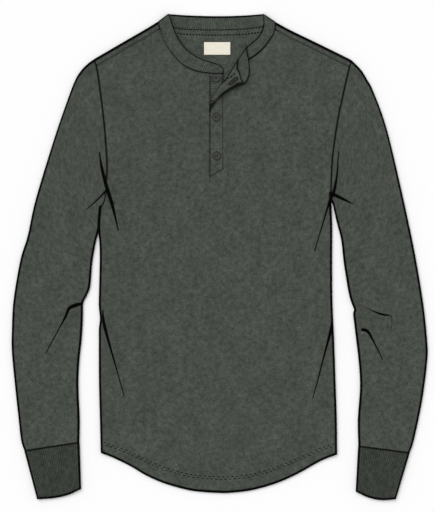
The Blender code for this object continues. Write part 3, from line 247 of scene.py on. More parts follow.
# Soft waves: start and end in plan, half width and height; a height below 0 is a trough.
SOFT_WAVES = (
    # start             end               width height
    ((-168.0, 20.0), (-60.0, -60.0), 22.0, 0.5),
    ((160.0, -20.0), (70.0, -110.0), 26.0, 0.45),
    ((-150.0, -230.0), (-95.0, -330.0), 20.0, 0.6),
    ((130.0, -240.0), (88.0, -335.0), 18.0, 0.55),
    ((-120.0, 300.0), (-70.0, 190.0), 24.0, 0.4),
    ((130.0, 305.0), (60.0, 180.0), 26.0, 0.45),
    ((-30.0, 100.0), (-42.0, -10.0), 20.0, 0.35),
    ((24.0, 70.0), (38.0, -60.0), 24.0, 0.3),
    ((-20.0, -250.0), (-28.0, -350.0), 18.0, 0.4),
    ((-240.0, 200.0), (-262.0, 90.0), 18.0, 0.5),
    ((-282.0, 20.0), (-300.0, -60.0), 14.0, 0.6),
    ((-268.0, -190.0), (-262.0, -285.0), 16.0, 0.55),
    ((-300.0, -170.0), (-292.0, -262.0), 12.0, -0.3),
    ((246.0, 210.0), (272.0, 90.0), 18.0, 0.5),
    ((286.0, 10.0), (306.0, -80.0), 14.0, 0.55),
    ((262.0, -205.0), (262.0, -290.0), 15.0, 0.5),
    ((300.0, -180.0), (292.0, -265.0), 12.0, -0.3),
)

# Hem, sewing and trims.
HEM_SIDE_DEPTH = 19.0    # from the hem's edge to its upper row of stitches, at the sides
HEM_MIDDLE_DEPTH = 25.8
HEM_DEPTH_REACH = 90.0   # how far in from the sides it grows
HEM_LINE_SHARE = 0.75    # how much wider the shade is along its edge
HEM_STEP = 1.5           # over which the hem's second layer ends
HEM_RAISE = 0.5          # how much it raises the cloth
TWIN_GAP = 3.7           # between the two rows of a twin stitch
HEM_STITCH_INSET = 3.0   # they start this far in from the sides
STITCH_SINK = 0.1        # how far a thread's middle lies below the cloth's surface
NECK_ROWS = (-0.3, -8.6)         # rows inside the back neck, from its seam
# Shares of a stitch's length, its gap and its thread: inside the neck, and in front.
NECK_STITCH = (0.7, 0.6, 1.5)
BAND_STITCH = (0.5, 0.6, 0.8)
BAND_STITCH_ROW = -1.5   # from the neck seam in front
BAND_STITCH_SINK = 0.2
SHOULDER_STITCH = (6.0, -1.6)    # length and gap; they overlap
SHOULDER_THREAD = 1.2
SHOULDER_PROUD = 0.35    # how far their middle lies above the cloth's middle
UNDERLAP_ROW = 1.5       # from the placket's right seam
UNDERLAP_STITCH = (1.2, 1.3)     # shares of the short stitches' length and thread
STITCH_DENT = 0.25
STITCH_DENT_REACH = 1.0
STITCH_FLATNESS = 0.6
STITCH_INSET = 0.5       # from a placket's edge to its stitches
BACK_NECK_REACH = 72.0   # how far the rows inside the back neck run to each side
BUTTONHOLES = (15.0, 13.0, 13.0)     # their lengths from the top one down
BUTTONHOLE_WIDTH = 3.4
BUTTONHOLE_THREAD = 0.9  # half its thread's thickness
BUTTONHOLE_LEAN = math.radians(8.0)      # the top one, as its corner is pulled askew
BUTTONHOLE_SHIFT = (-2.0, -7.5)          # where it lies from its button's place
TURNED_ROW = ((-1.4, 270.0), (0.8, 276.5), (1.2, 283.0), (2.4, 291.0))    # as it lies flat
TURNED_STITCH = 5.0      # its stitches
TURNED_GAP = 0.6
TURNED_PROUD = 0.7       # how far the thread's middle stands off the cloth there
STITCH_STOP = 5.0        # the placket's stitches end this far short of the roll
LINE_PARTS = (0.34, -0.12)   # a sewn line's stitches and their gap, as shares of its length
DOT_LENGTH = 1.8         # short stitches up the placket
DOT_GAP = 1.6
DOT_WIDTH = 1.05
BAND_SHARES = (0.0, 0.01, 0.03, 0.07, 0.15, 0.3, 0.5, 0.7, 0.84, 0.92, 0.96, 0.985, 1.0)
BUTTONS = ((-5.6, 286.0, 3.2), (-5.1, 223.4, 4.8), (-4.6, 161.6, 4.8))     # x, y, underside
BUTTON_RADIUS = 6.5
BUTTON_THICKNESS = 2.4
BUTTON_RIM = 1.2
BUTTON_DISH = 0.6
BUTTON_HOLE_RADIUS = 0.9
BUTTON_HOLE_OFFSET = 2.0
BUTTON_SIDES = 48
LABEL_CENTRE = (-3.7, 333.4)
LABEL_SIZE = (42.0, 20.2, 0.8)
LABEL_BORDER = 1.3       # from its edge to its row of stitches
LABEL_STITCH = (2.2, 0.5, 0.32, 0.3)     # length, gap, half the thread and where they start

# Finish and stage; lengths here are in metres.
FOLD_SHADE = 0.0        # colour left by the painted shade on a folded edge
SEAM_SHADE = 0.08        # in a seam
CREASE_SHADE = 0.0      # in a crease's trough
# Marks between which the painted shade turns the cloth from dark to its full colour; the last
# is how far the place lies inside a trough.
FOLD_RANGE = (2.2, 4.0)
SEAM_RANGE = (0.6, 1.7)
TROUGH_RANGE = (-1.0, 0.1)
STREAK_SCALE = (420.0, 170.0)    # of the yarn's streaks, turned for those across
# Across half a rib: where the painted shade of its groove ends and its light top starts, then the
# colour left in both.
BAND_GROOVE = (0.12, 0.6, 0.3, 1.0)
CUFF_GROOVE = (0.15, 0.9, 0.27, 0.74)
# colour left by the painted shade in a groove where the turned-out end opens it
OPEN_GROOVE = 0.85
GREEN_LEAN = (0.93, 1.02, 1.0)
BROWN_LEAN = (1.07, 0.98, 1.0)
FLOOR_SIZE = 8.0
FLOOR_COLOUR = (0.93, 0.93, 0.93)
SOFTBOX_PLACE = (-1.4, 1.6, 2.6)
SOFTBOX_ANGLE = math.radians(50.0)
CAMERA_LENS = 150.0
CAMERA_SENSOR = 36.0
VIEW_LENGTH = 0.8192     # how much of the surface the view takes in, from hem to neck
VIEW_CENTRE = (-0.0032, 0.0016)

# ---------------------------------------------------------------- how finely the cloth is drawn

FINE_EDGE = (0.0, 0.04, 0.15, 0.4, 0.8, 1.4, 2.2, 3.2, 4.4)      # distances in from an edge
FINE_PITCH = 1.25        # columns where the creases run
FINE_REACH = 52.0        # and how far in from the sides they do
WIDE_PITCH = 4.5
HEM_ROWS = (0.0, 0.15, 0.4, 0.8, 1.4, 2.4, 4.0, 6.0, 8.0, 10.0, 11.0, 12.0, 13.0, 14.0, 15.0,
            16.0, 17.0, 18.0, 19.0, 20.0, 21.0, 22.0, 23.0, 24.0, 25.0, 26.0, 27.5, 29.5)
FRONT_SIDE_ROWS = 126
FRONT_ARMHOLE_ROWS = 64
BACK_SIDE_ROWS = 60
BACK_ARMHOLE_ROWS = 36
SLIT_COLUMNS = 5
FOOT_ROWS = 12
SLEEVE_ROWS = 240
SLEEVE_FRONT_COLUMNS = 62
SLEEVE_BACK_COLUMNS = 16
SHOULDER_MIDDLE = 20     # the back's columns along a shoulder, between its fine ends
WRAP_PITCH = 2.0         # its rows where it wraps over a shoulder
CUFF_PITCH = 6.0         # a cuff's rows
STRIP_COLUMNS = 8        # a placket strip's columns and rows, between its fine edges
STRIP_ROWS = 76
LABEL_CELLS = (56, 28)
HEM_POINTS = 200         # points of a hem's line of stitches, and of a shorter line
LINE_POINTS = 60
CORNER_POINTS = 20       # and of one side of a buttonhole or a placket's foot
RIB_COLUMNS = 6          # columns to a rib

CREASE_NEAR = 6.0        # past this a place belongs to no crease
SEAM_DIP = 0.55          # how far the cloth goes down into a seam
SEAM_REACH = 1.7
FAINT_SEAM = 0.9         # a mark for a seam whose painted shade shows less
CLOTH = 1.3
RIB_CLOTH = 2.0
FRONT_LEVEL = CLOTH * 1.5 + LAYER
BACK_LEVEL = CLOTH / 2
PLACKET_LIFT = CLOTH + LAYER


# ---------------------------------------------------------------- curves

def smooth_curve(rows, pieces=16):
    """A dense line of points on a smooth curve through the rows."""
    points = np.array(rows, float)
    ends = np.vstack([2 * points[0] - points[1], points, 2 * points[-1] - points[-2]])
    line = []
    for before, start, end, after in zip(ends, ends[1:], ends[2:], ends[3:]):
        for step in np.linspace(0.0, 1.0, pieces, endpoint=False):
            line.append(0.5 * (2 * start + (end - before) * step
                               + (2 * before - 5 * start + 4 * end - after) * step ** 2
                               + (3 * start - before - 3 * end + after) * step ** 3))
    line.append(points[-1])
    return np.array(line)


def lengths(line):
    """Distance in plan along the line at each of its points."""
    return np.concatenate([[0.0], np.cumsum(np.linalg.norm(np.diff(line[:, :2], axis=0), axis=1))])


def points_at(line, distances):
    """Points of the line at the given distances along it."""
    along = lengths(line)
    return np.column_stack([np.interp(distances, along, line[:, axis])
                            for axis in range(line.shape[1])])


def distance_to(line, x, y):
    """Distance in plan from each point to the line, how far along it the nearest place is,
    from 0 to 1, and on which side the point lies, 1 for the left."""
    x, y = np.asarray(x, float), np.asarray(y, float)
    best = np.full(x.shape, np.inf)
    place = np.zeros(x.shape)
    side = np.ones(x.shape)
    along = lengths(line) / lengths(line)[-1]
    for index in range(len(line) - 1):
        start, step = line[index, :2], line[index + 1, :2] - line[index, :2]
        part = ((x - start[0]) * step[0] + (y - start[1]) * step[1]) / (step @ step)
        part = np.clip(part, 0.0, 1.0)
        off_x = x - start[0] - part * step[0]
        off_y = y - start[1] - part * step[1]
        gap = np.hypot(off_x, off_y)
        nearer = gap < best
        best = np.where(nearer, gap, best)
        place = np.where(nearer, along[index] + part * (along[index + 1] - along[index]), place)
        side = np.where(nearer, np.where(step[0] * off_y - step[1] * off_x >= 0, 1, -1), side)
    return best, place, side


def ease(value):
    """0 below 0, 1 above 1 and smooth between."""
    part = np.clip(value, 0.0, 1.0)
    return part * part * (3.0 - 2.0 * part)


def edge_round(distance, radius):
    """0 on a folded edge, rising to 1 a radius in from it, like a quarter circle."""
    share = np.clip(distance / radius, 0.0, 1.0)
    return np.sqrt(1.0 - (1.0 - share) ** 2)


CREASE_LINES = tuple(smooth_curve(row[0], 8) for row in CREASES)
SIDE_LINES = (smooth_curve(RIGHT_SIDE), smooth_curve(LEFT_SIDE))
ARMHOLE_LINES = (smooth_curve(RIGHT_ARMHOLE), smooth_curve(LEFT_ARMHOLE))
SHOULDER_LINES = (smooth_curve(RIGHT_SHOULDER), smooth_curve(LEFT_SHOULDER))
BAND_SEAM_LINES = (smooth_curve(RIGHT_BAND_SEAM), smooth_curve(LEFT_BAND_SEAM))
BACK_NECK_LINE = smooth_curve(BACK_BAND_SEAM)
HEM_LINE = smooth_curve(HEM)


# ---------------------------------------------------------------- heights

def crease_marks(x, y):
    """How much the creases raise the cloth at each place, and for the crease whose trough
    reaches furthest over it the signed distance to its middle and half the width of its painted
    shade."""
    height = np.zeros(np.shape(x))
    gap = np.full(np.shape(x), CREASE_NEAR)
    half = np.full(np.shape(x), -CREASE_NEAR)
    for line, (_, tall, reach, ridge_side) in zip(CREASE_LINES, CREASES):
        away, place, side = distance_to(line, x, y)
        width = np.interp(place, lengths(line) / lengths(line)[-1], line[:, 2])
        share = np.clip(width / line[:, 2].max(), 0.0, 1.0) ** CREASE_FULLNESS
        ends = ease(place / CREASE_ENDS[0]) * ease((1.0 - place) / CREASE_ENDS[1])
        across = away * side * ridge_side
        crest = width / 2 + CREASE_FLANK
        ridge = ease(across / crest) * ease(1.0 - (across - crest) / reach)
        bank = CREASE_SHARE * ease(-across / crest) * ease(1.0 + (across + crest) / reach)
        height = np.maximum(height, tall * share * ends * np.where(across > 0, ridge, bank))
        dark = width / 2 * CREASE_SPREAD
        over = (place > 0.0) & (place < 1.0) & (away < CREASE_NEAR)
        over &= dark - away > half - np.abs(gap)
        gap = np.where(over, away * side, gap)
        half = np.where(over, dark, half)
    return height, gap, half


def soft_waves(x, y):
    """The slow rise and fall of cloth that was smoothed out by hand."""
    total = np.zeros(np.shape(x))
    for start, end, width, height in SOFT_WAVES:
        gap, place, _ = distance_to(np.array((start, end)), x, y)
        total += height * np.sin(np.pi * place) * np.exp(-(gap / width) ** 2)
    return total


def placket_lift(x, y):
    """The overlap, and the front beside it, lie a cloth higher, on the underlap."""
    beside = np.where(x > PLACKET_LEFT, 1.0 - ease((x - PLACKET_LEFT) / LIFT_REACH), 1.0)
    above_foot = ease((y - PLACKET_FOOT[0] + LIFT_REACH) / LIFT_REACH)
    return PLACKET_LIFT * beside * above_foot


def side_distance(x, y):
    """Distance to the nearer side fold, or to the armpit for points above it."""
    gaps = []
    for line, inward in zip(SIDE_LINES, (1.0, -1.0)):
        armpit = line[-1]
        edge = np.interp(np.minimum(y, armpit[1]), line[:, 1], line[:, 0])
        gaps.append(np.hypot(inward * (x - edge), np.maximum(0.0, y - armpit[1])))
    return np.minimum(*gaps)


def fold_distance(x, y):
    """Distance to the nearest folded edge of the body: a side or a shoulder."""
    shoulders = [distance_to(line, x, y)[0] for line in SHOULDER_LINES]
    return np.minimum(side_distance(x, y), np.minimum(*shoulders))


def touch_line(x, y):
    """How much narrower the shade is where sleeve and body lie edge to edge under the arm."""
    still = 1.0 - ease((y - TOUCH_END) / TOUCH_REACH)
    below = ease((y - TOUCH_FOOT) / TOUCH_REACH) * still
    above = ease((y - TOUCH_HEAD) / TOUCH_REACH) * still
    near = ease((y - TOUCH_FOOT) / (TOUCH_HEAD - TOUCH_FOOT)) * still
    return 1.0 + np.where(x < 0, TOUCH_SHARES[0] * below + TOUCH_SHARES[1] * above,
                          ARMPIT_SHARE * near)


def front_height(x, y, edge):
    """Middle of the front layer's cloth at a distance from the nearest folded edge."""
    loft = LOFT * np.exp(-(edge / LOFT_REACH) ** 2)
    top = FRONT_LEVEL + loft + crease_marks(x, y)[0] + soft_waves(x, y)
    return FOLD_LEVEL + (top - FOLD_LEVEL) * edge_round(edge, FOLD_RADIUS)


def back_height(edge):
    """Middle of the back layer's cloth at a distance from the nearest folded edge."""
    return FOLD_LEVEL + (BACK_LEVEL - FOLD_LEVEL) * edge_round(edge, FOLD_RADIUS)


def sheet_height(x, y):
    """Middle of the front's left half, carried on over the placket and past the neck seam."""
    return front_height(x, y, fold_distance(x, y)) + placket_lift(x, y)


def seam_dip(distance):
    """How far the cloth lies below its own level near a seam."""
    return SEAM_DIP * (1.0 - ease(distance / SEAM_REACH))


def edge_thickness(distance, thickness):
    """Share of the full thickness near a cut or folded edge, which is round."""
    radius = thickness / 2
    return 0.3 + 0.7 * edge_round(distance, radius)


# ---------------------------------------------------------------- the turned-out corner

def roll_place(x, y):
    """How far a point lies beyond the roll line, and how far along it."""
    off_x, off_y = x - ROLL_START[0], y - ROLL_START[1]
    beyond = off_x * ROLL_NORMAL[0] + off_y * ROLL_NORMAL[1]
    along = off_x * ROLL_DIRECTION[0] + off_y * ROLL_DIRECTION[1]
    return beyond, along


def turning_points(x, y):
    """Which points lie on the turned-out corner or just short of its roll."""
    beyond, along = roll_place(x, y)
    return (beyond > -ROLL_LEAD) & (along > -ROLL_LEAD) & (y < ROLL_TOP)


def roll_radius(along):
    """The roll is tight at its foot and opens up along it."""
    share, reach = ROLL_FOOT
    return ROLL_RADIUS * (share + (1.0 - share) * ease(along / reach))


def roll_slide(beyond, along):
    """How far cloth slides up along the roll as it turns."""
    start, reach = ROLL_SLIDE_FADE
    corner, corner_reach = ROLL_SLIDE_CORNER
    return (ROLL_SLIDE * ease((beyond + ROLL_LEAD) / (ROLL_LEAD + ROLL_RADIUS * 1.5))
            * ease(along / ROLL_SLIDE_RISE) * (1.0 - ease((along - start) / reach))
            * (1.0 - ease((beyond - corner) / corner_reach)))


def rolled(points):
    """Where the turned-out corner carries points of the flat front."""
    x, y, z = np.asarray(points, float).T
    beyond, along = roll_place(x, y)
    foot = np.array(ROLL_START)[:, None] + np.array(ROLL_DIRECTION)[:, None] * along
    over = np.maximum(beyond, 0.0)
    bend = roll_radius(along)
    radius = bend - (z - sheet_height(x, y))
    turn = np.clip(over / bend, 0.0, np.pi)
    flat = np.maximum(0.0, over - np.pi * bend)
    left = np.where(beyond > 0.0, radius * np.sin(turn) - flat, beyond)
    left += np.interp(along, *np.transpose(ROLL_BULGE)) * np.sin(turn)
    edge = np.maximum(ROLL_EDGE[0] * along + ROLL_EDGE[1] - np.pi * bend, MARGIN)
    left += np.interp(along, *np.transpose(ROLL_BOW)) * np.clip(flat / edge, 0.0, 1.0)
    drawn = ROLL_SKEW * over + roll_slide(beyond, along)
    plan = [foot[axis] + ROLL_NORMAL[axis] * left + ROLL_DIRECTION[axis] * drawn
            for axis in (0, 1)]
    sag = ROLL_SAG * ease(flat / ROLL_SAG_REACH)
    top = sheet_height(*foot) + bend - radius * np.cos(turn) - sag
    return np.column_stack([*plan, np.where(beyond > 0.0, top, z)])


def crest_distance(x, y):
    """How far cloth of the turned corner lies from the roll's crest, scaled to set the painted shade
    along the crest.
    """
    beyond, along = roll_place(x, y)
    bend = roll_radius(along)
    wider = np.maximum(1.0 + np.interp(along, *np.transpose(ROLL_BULGE)) / bend, 0.3)
    reach = np.abs(beyond - np.pi / 2 * bend) * np.sqrt(wider) * ROLL_RADIUS / bend * CREST_LINE
    start, length, least = CREST_FADE
    reach = reach + least * (1.0 - ease((along - start) / length))
    return np.where((along > MARGIN) & (y < ROLL_TOP), reach, CREASE_NEAR)


def turn_out(mesh):
    """Cuts a flat sheet along the roll and turns out the part that lies beyond it."""
    turning = mesh.verts.layers.float["turning"]
    for level in np.linspace(0.0, math.pi * ROLL_RADIUS, ROLL_STEPS + 1):
        place = [start + step * level for start, step in zip(ROLL_START, ROLL_NORMAL)]
        zone = {face for corner in mesh.verts if corner[turning] > 0.5
                for face in corner.link_faces}
        edges = {edge for face in zone for edge in face.edges}
        corners = {corner for face in zone for corner in face.verts}
        bmesh.ops.bisect_plane(mesh, geom=[*corners, *edges, *zone], dist=0.01,
                               plane_co=(*place, 0.0), plane_no=(*ROLL_NORMAL, 0.0))
    turned = [corner for corner in mesh.verts if corner[turning] > 0.5]
    zone = {face for corner in turned for face in corner.link_faces if len(face.verts) > 3}
    bmesh.ops.triangulate(mesh, faces=list(zone))
    for corner, place in zip(turned, rolled([corner.co for corner in turned])):
        corner.co = place


# ---------------------------------------------------------------- sheets of cloth

def grid_normals(grid):
    """Unit normals of a grid of points, from its own rows and columns."""
    normal = np.cross(np.gradient(grid, axis=1), np.gradient(grid, axis=0))
    return normal / np.linalg.norm(normal, axis=2, keepdims=True)


def sheet_mesh(place, cloth, marks, present=None):
    """A grid of faces carried to its places. cloth is where each point lies on the flat cut
    cloth, marks are numbers that the finish reads, among them where it paints shade, and
    present says which cells there are."""
    rows, columns = place.shape[:2]
    far = np.full((rows, columns), CREASE_NEAR)
    marks = {"crease_gap": far, "crease_half": -far, **marks}
    mesh = bmesh.new()
    layers = {name: mesh.verts.layers.float.new(name) for name in marks}
    flat = mesh.loops.layers.uv.new("UVMap")
    bmesh.ops.create_grid(mesh, x_segments=columns - 1, y_segments=rows - 1, size=0.5)
    gone = []
    if present is not None:
        for face in mesh.faces:
            centre = face.calc_center_median()
            cell = int((centre.y + 0.5) * (rows - 1)), int((centre.x + 0.5) * (columns - 1))
            if not present[cell]:
                gone.append(face)
    corners = [(round((corner.co.y + 0.5) * (rows - 1)), round((corner.co.x + 0.5) * (columns - 1)))
               for corner in mesh.verts]
    for vert, corner in zip(mesh.verts, corners):
        vert.co = place[corner]
        for name, layer in layers.items():
            vert[layer] = marks[name][corner]
    mesh.verts.index_update()
    for face in mesh.faces:
        for loop in face.loops:
            loop[flat].uv = cloth[corners[loop.vert.index]]
    bmesh.ops.delete(mesh, geom=gone, context="FACES")
    return mesh


def cloth_size(mesh):
    """Width, length and area in metres of the flat cloth that a sheet is made of."""
    flat = mesh.loops.layers.uv["UVMap"]
    places = np.array([loop[flat].uv[:] for face in mesh.faces for loop in face.loops])
    width, length = places.max(axis=0) - places.min(axis=0)
    return (float(width), float(length)), sum(face.calc_area() for face in mesh.faces) * MM ** 2


def link(name, mesh, finish):
    """Makes a bmesh in millimetres into a smooth object in metres that lies with the shirt."""
    bmesh.ops.scale(mesh, vec=(MM, MM, MM), verts=mesh.verts)
    data = bpy.data.meshes.new(name)
    mesh.to_mesh(data)
    mesh.free()
    data.materials.append(finish)
    piece = bpy.data.objects.new(name, data)
    bpy.context.scene.collection.objects.link(piece)
    data.shade_smooth()
    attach(piece, BODY)
    return piece


def join_seams(mesh):
    """Joins corners that lie on each other and turns every face outward."""
    bmesh.ops.remove_doubles(mesh, verts=mesh.verts, dist=0.001)
    bmesh.ops.recalc_face_normals(mesh, faces=mesh.faces)


def apply_modifiers(piece):
    """Makes the evaluated mesh of a piece its own."""
    evaluated = piece.evaluated_get(bpy.context.evaluated_depsgraph_get())
    data = bpy.data.meshes.new_from_object(evaluated, preserve_all_data_layers=True,
                                           depsgraph=bpy.context.evaluated_depsgraph_get())
    old, piece.data = piece.data, data
    piece.modifiers.clear()
    data.name = old.name
    bpy.data.meshes.remove(old)
    data.shade_smooth()


def make_sheet(name, mesh, thickness, finish, node):
    """Gives a sheet its thickness, thinner where its mark says so."""
    size, area = cloth_size(mesh)
    thin = mesh.verts.layers.float["thick"]
    mesh.verts.index_update()
    shares = [(corner.index, corner[thin]) for corner in mesh.verts]
    piece = link(name, mesh, finish)
    group = piece.vertex_groups.new(name="thickness")
    group.add([index for index, share in shares if share > 0.99], 1.0, "REPLACE")
    for index, share in shares:
        if share <= 0.99:
            group.add([index], share, "REPLACE")
    wall = piece.modifiers.new("thickness", "SOLIDIFY")
    wall.thickness = thickness * MM
    wall.offset = 0.0
    wall.vertex_group = group.name
    wall.use_rim = True
    apply_modifiers(piece)
    piece.vertex_groups.clear()
    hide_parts(node)
    return piece


def make_knit(shirt, name, mesh, node):
    """A sheet of the body's jersey."""
    make_sheet(name, mesh, shirt.cloth / MM, knit_finish(shirt), node)


def graded(length, fine=0.0, wide=WIDE_PITCH, reach=0.0):
    """Distances in from an edge: close at the edge, fine as far as reach, then wide."""
    steps = list(FINE_EDGE)
    if reach:
        steps += list(np.arange(steps[-1] + fine, min(reach, length), fine))
    count = max(1, round((length - steps[-1]) / wide))
    return np.concatenate([steps, np.linspace(steps[-1], length, count + 1)[1:]])


def steps_across(width, middle):
    """Distances across a width: close at both folded edges and even between them."""
    edge = np.array(FINE_EDGE)
    between = np.linspace(edge[-1], width - edge[-1], middle + 2)[1:-1]
    return np.concatenate([edge, between, width - edge[::-1]])


# ---------------------------------------------------------------- front and back

def armhole_steps(length, count):
    """Distances up an armhole, close where it meets the shoulder."""
    even = np.linspace(0.0, length - FINE_EDGE[-1], count + 1)[1:]
    return np.concatenate([even, length - np.array(FINE_EDGE[-2::-1])])


def side_rows(side, count, steps):
    """Points up one edge of a panel, from the hem: the side fold, then the armhole."""
    line, armhole = SIDE_LINES[side], ARMHOLE_LINES[side]
    hem = line[0, 1] + np.array(HEM_ROWS)
    heights = np.concatenate([hem, np.linspace(hem[-1], line[-1, 1], count + 1)[1:]])
    along = np.interp(heights, line[:, 1], lengths(line))
    return np.vstack([points_at(line, along), points_at(armhole, steps)])


def neck_columns(line, start, stop, end_steps=FINE_EDGE):
    """Points along a neck seam from a distance along it to where it crosses x = stop."""
    order = np.argsort(line[:, 0])
    stop_at = np.interp(stop, line[order, 0], lengths(line)[order])
    last = stop_at - end_steps[-1]
    count = max(1, round((last - start) / WIDE_PITCH))
    steps = [np.linspace(start, last, count + 1), stop_at - np.array(end_steps[-2::-1])]
    return points_at(line, np.concatenate(steps if len(end_steps) > 1 else steps[:1]))


def shoulder_columns(side, drop, steps):
    """Points along a shoulder, a distance forward of its fold, from the armhole to the neck."""
    fold = SHOULDER_LINES[side]
    armhole = ARMHOLE_LINES[side]
    tip = points_at(armhole, [lengths(armhole)[-1] - drop])[0]
    corner = points_at(BAND_SEAM_LINES[side], [drop])[0]
    share = steps[:, None] / steps[-1]
    line = points_at(fold, share[:, 0] * lengths(fold)[-1])
    return line + (tip - fold[0]) * (1.0 - share) + (corner - fold[-1]) * share


def panel_plan(edges, tops, middle_columns):
    """Plan points of a panel: its rows run from one edge to the other, its columns from the
    hem to the top edge, the middle ones across the placket."""
    halves = []
    for edge, top in zip(edges, tops):
        stop = top[-1, 0]
        share = (top[:, 0] - top[0, 0]) / (stop - top[0, 0])
        x = edge[:, :1] + share * (stop - edge[:, :1])
        hem = np.interp(x[0], HEM_LINE[:, 0], HEM_LINE[:, 1])
        rise = (edge[:, 1:] - edge[0, 1]) / (edge[-1, 1] - edge[0, 1])
        halves.append(np.dstack([x, hem + rise * (top[:, 1] - hem)]))
    right, left = halves
    share = np.linspace(0.0, 1.0, middle_columns + 2)[1:-1, None]
    middle = right[:, -1:] + (left[:, -1:] - right[:, -1:]) * share
    return np.hstack([right, middle, left[:, ::-1]])


def hem_depth(x):
    """How far above the edge the hem is sewn, to the upper of its two rows of stitches."""
    inward = -HEM[0][0] - np.abs(x)
    return HEM_SIDE_DEPTH + (HEM_MIDDLE_DEPTH - HEM_SIDE_DEPTH) * ease(inward / HEM_DEPTH_REACH)


def hem_gap(x, y):
    """Height above the hem's edge."""
    return y - np.interp(x, HEM_LINE[:, 0], HEM_LINE[:, 1])


def hem_relief(x, y):
    """The hem's second layer raises the cloth, and its two rows of stitches draw it in."""
    gap, depth = hem_gap(x, y), hem_depth(x)
    raised = HEM_RAISE * (1.0 - ease((gap - depth - 1.0) / HEM_STEP))
    rows = sum(np.exp(-((gap - depth + back) / STITCH_DENT_REACH) ** 2)
               for back in (0.0, TWIN_GAP))
    return raised - STITCH_DENT * rows


def faint_shade(distance, shade):
    """A fold mark for painted shade that stays between dark and light near an edge."""
    level, reach, rise = shade
    return level + rise * np.maximum(0.0, distance - reach)


def row_distance(plan, row):
    """Distance of each point of a grid to the point of its own column in a row."""
    return np.hypot(*(plan - plan[row:row + 1 or None]).transpose(2, 0, 1))


def column_distance(plan, column):
    """Distance of each point of a grid to the point of its own row in a column."""
    return np.hypot(*(plan - plan[:, column:column + 1 or None]).transpose(2, 0, 1))


def make_front(shirt):
    edges, tops = [], []
    for side, stop in enumerate((PLACKET_RIGHT, PLACKET_LEFT)):
        length = lengths(ARMHOLE_LINES[side])[-1] - SHOULDER_DROP
        steps = armhole_steps(length, FRONT_ARMHOLE_ROWS)
        edges.append(side_rows(side, FRONT_SIDE_ROWS, steps))
        along = graded(lengths(SHOULDER_LINES[side])[-1], FINE_PITCH, WIDE_PITCH, FINE_REACH)
        seam = shoulder_columns(side, SHOULDER_DROP, along)
        neck = neck_columns(BAND_SEAM_LINES[side], SHOULDER_DROP, stop)
        tops.append(np.vstack([seam, neck[1:]]))
    plan = panel_plan(edges, tops, SLIT_COLUMNS)
    x, y = plan[:, :, 0], plan[:, :, 1]
    right, left = len(tops[0]) - 1, len(tops[0]) + SLIT_COLUMNS
    foot = np.interp(x[0], (PLACKET_RIGHT, PLACKET_LEFT), PLACKET_FOOT)
    middle = (right + left) // 2
    foot_row = int(np.argmin(np.abs(y[:, middle] - foot[middle])))
    # The rows near the placket's foot are drawn to its slant.
    near_row = np.clip(1.0 - np.abs(np.arange(len(y)) - foot_row) / FOOT_ROWS, 0.0, 1.0)
    beside = np.maximum(PLACKET_RIGHT - x[0], x[0] - PLACKET_LEFT).clip(0)
    y += near_row[:, None] * ((foot - y[foot_row]) * np.exp(-(beside / FOOT_REACH) ** 2))[None]
    fold = fold_distance(x, y)
    lift = np.where(x > PLACKET_RIGHT + MARGIN, placket_lift(x, y), 0.0)
    seam = row_distance(plan, -1)
    armhole = np.full(y.shape, np.inf)
    for column, line in ((0, SIDE_LINES[0]), (-1, SIDE_LINES[1])):
        above = y > line[-1, 1]
        armhole = np.where(above, np.minimum(armhole, column_distance(plan, column)), armhole)
    seam = np.minimum(seam, armhole)
    beside = np.maximum(0.0, np.maximum(PLACKET_RIGHT - x, x - PLACKET_LEFT))
    seam = np.minimum(seam, FAINT_SEAM + np.hypot(beside, foot[None] - y))
    height = front_height(x, y, fold) + lift + hem_relief(x, y) - seam_dip(seam)
    hem = row_distance(plan, 0)
    _, gap, half = crease_marks(x, y)
    turning = turning_points(x, y) & (x > PLACKET_LEFT - MARGIN)
    crest = np.where(turning, crest_distance(x, y), CREASE_NEAR)
    # The fold mark: where the finish paints shade along the folded edges and the hem.
    edge_shade = np.minimum(fold * touch_line(x, y), hem * HEM_LINE_SHARE)
    slit = np.hypot(np.maximum(0.0, PLACKET_RIGHT - x), np.maximum(0.0, PLACKET_FOOT[0] - y))
    edge_shade = np.where(x < PLACKET_RIGHT + MARGIN,
                       np.minimum(edge_shade, faint_shade(slit, SLIT_SHADE)), edge_shade)
    # The seam mark: where the finish paints shade in the seams, wider at the neck and the armholes.
    on_neck = (x > PLACKET_LEFT) & (x < LEFT_SHOULDER[-1][0])
    seam = np.where(on_neck, seam * NECK_SEAM_LINE, seam)
    shade = np.minimum(seam, armhole * ARMHOLE_LINE)
    marks = {"fold": np.minimum(edge_shade, crest), "seam": shade, "crease_gap": gap,
             "crease_half": half, "turning": turning,
             "thick": edge_thickness(np.minimum(seam, hem), CLOTH)}
    present = np.ones((len(plan) - 1, plan.shape[1] - 1), bool)
    present[foot_row:, right:left] = False
    mesh = sheet_mesh(np.dstack([plan, height]), plan * MM, marks, present)
    turn_out(mesh)
    make_knit(shirt, "front_cloth", mesh, "front_panel")


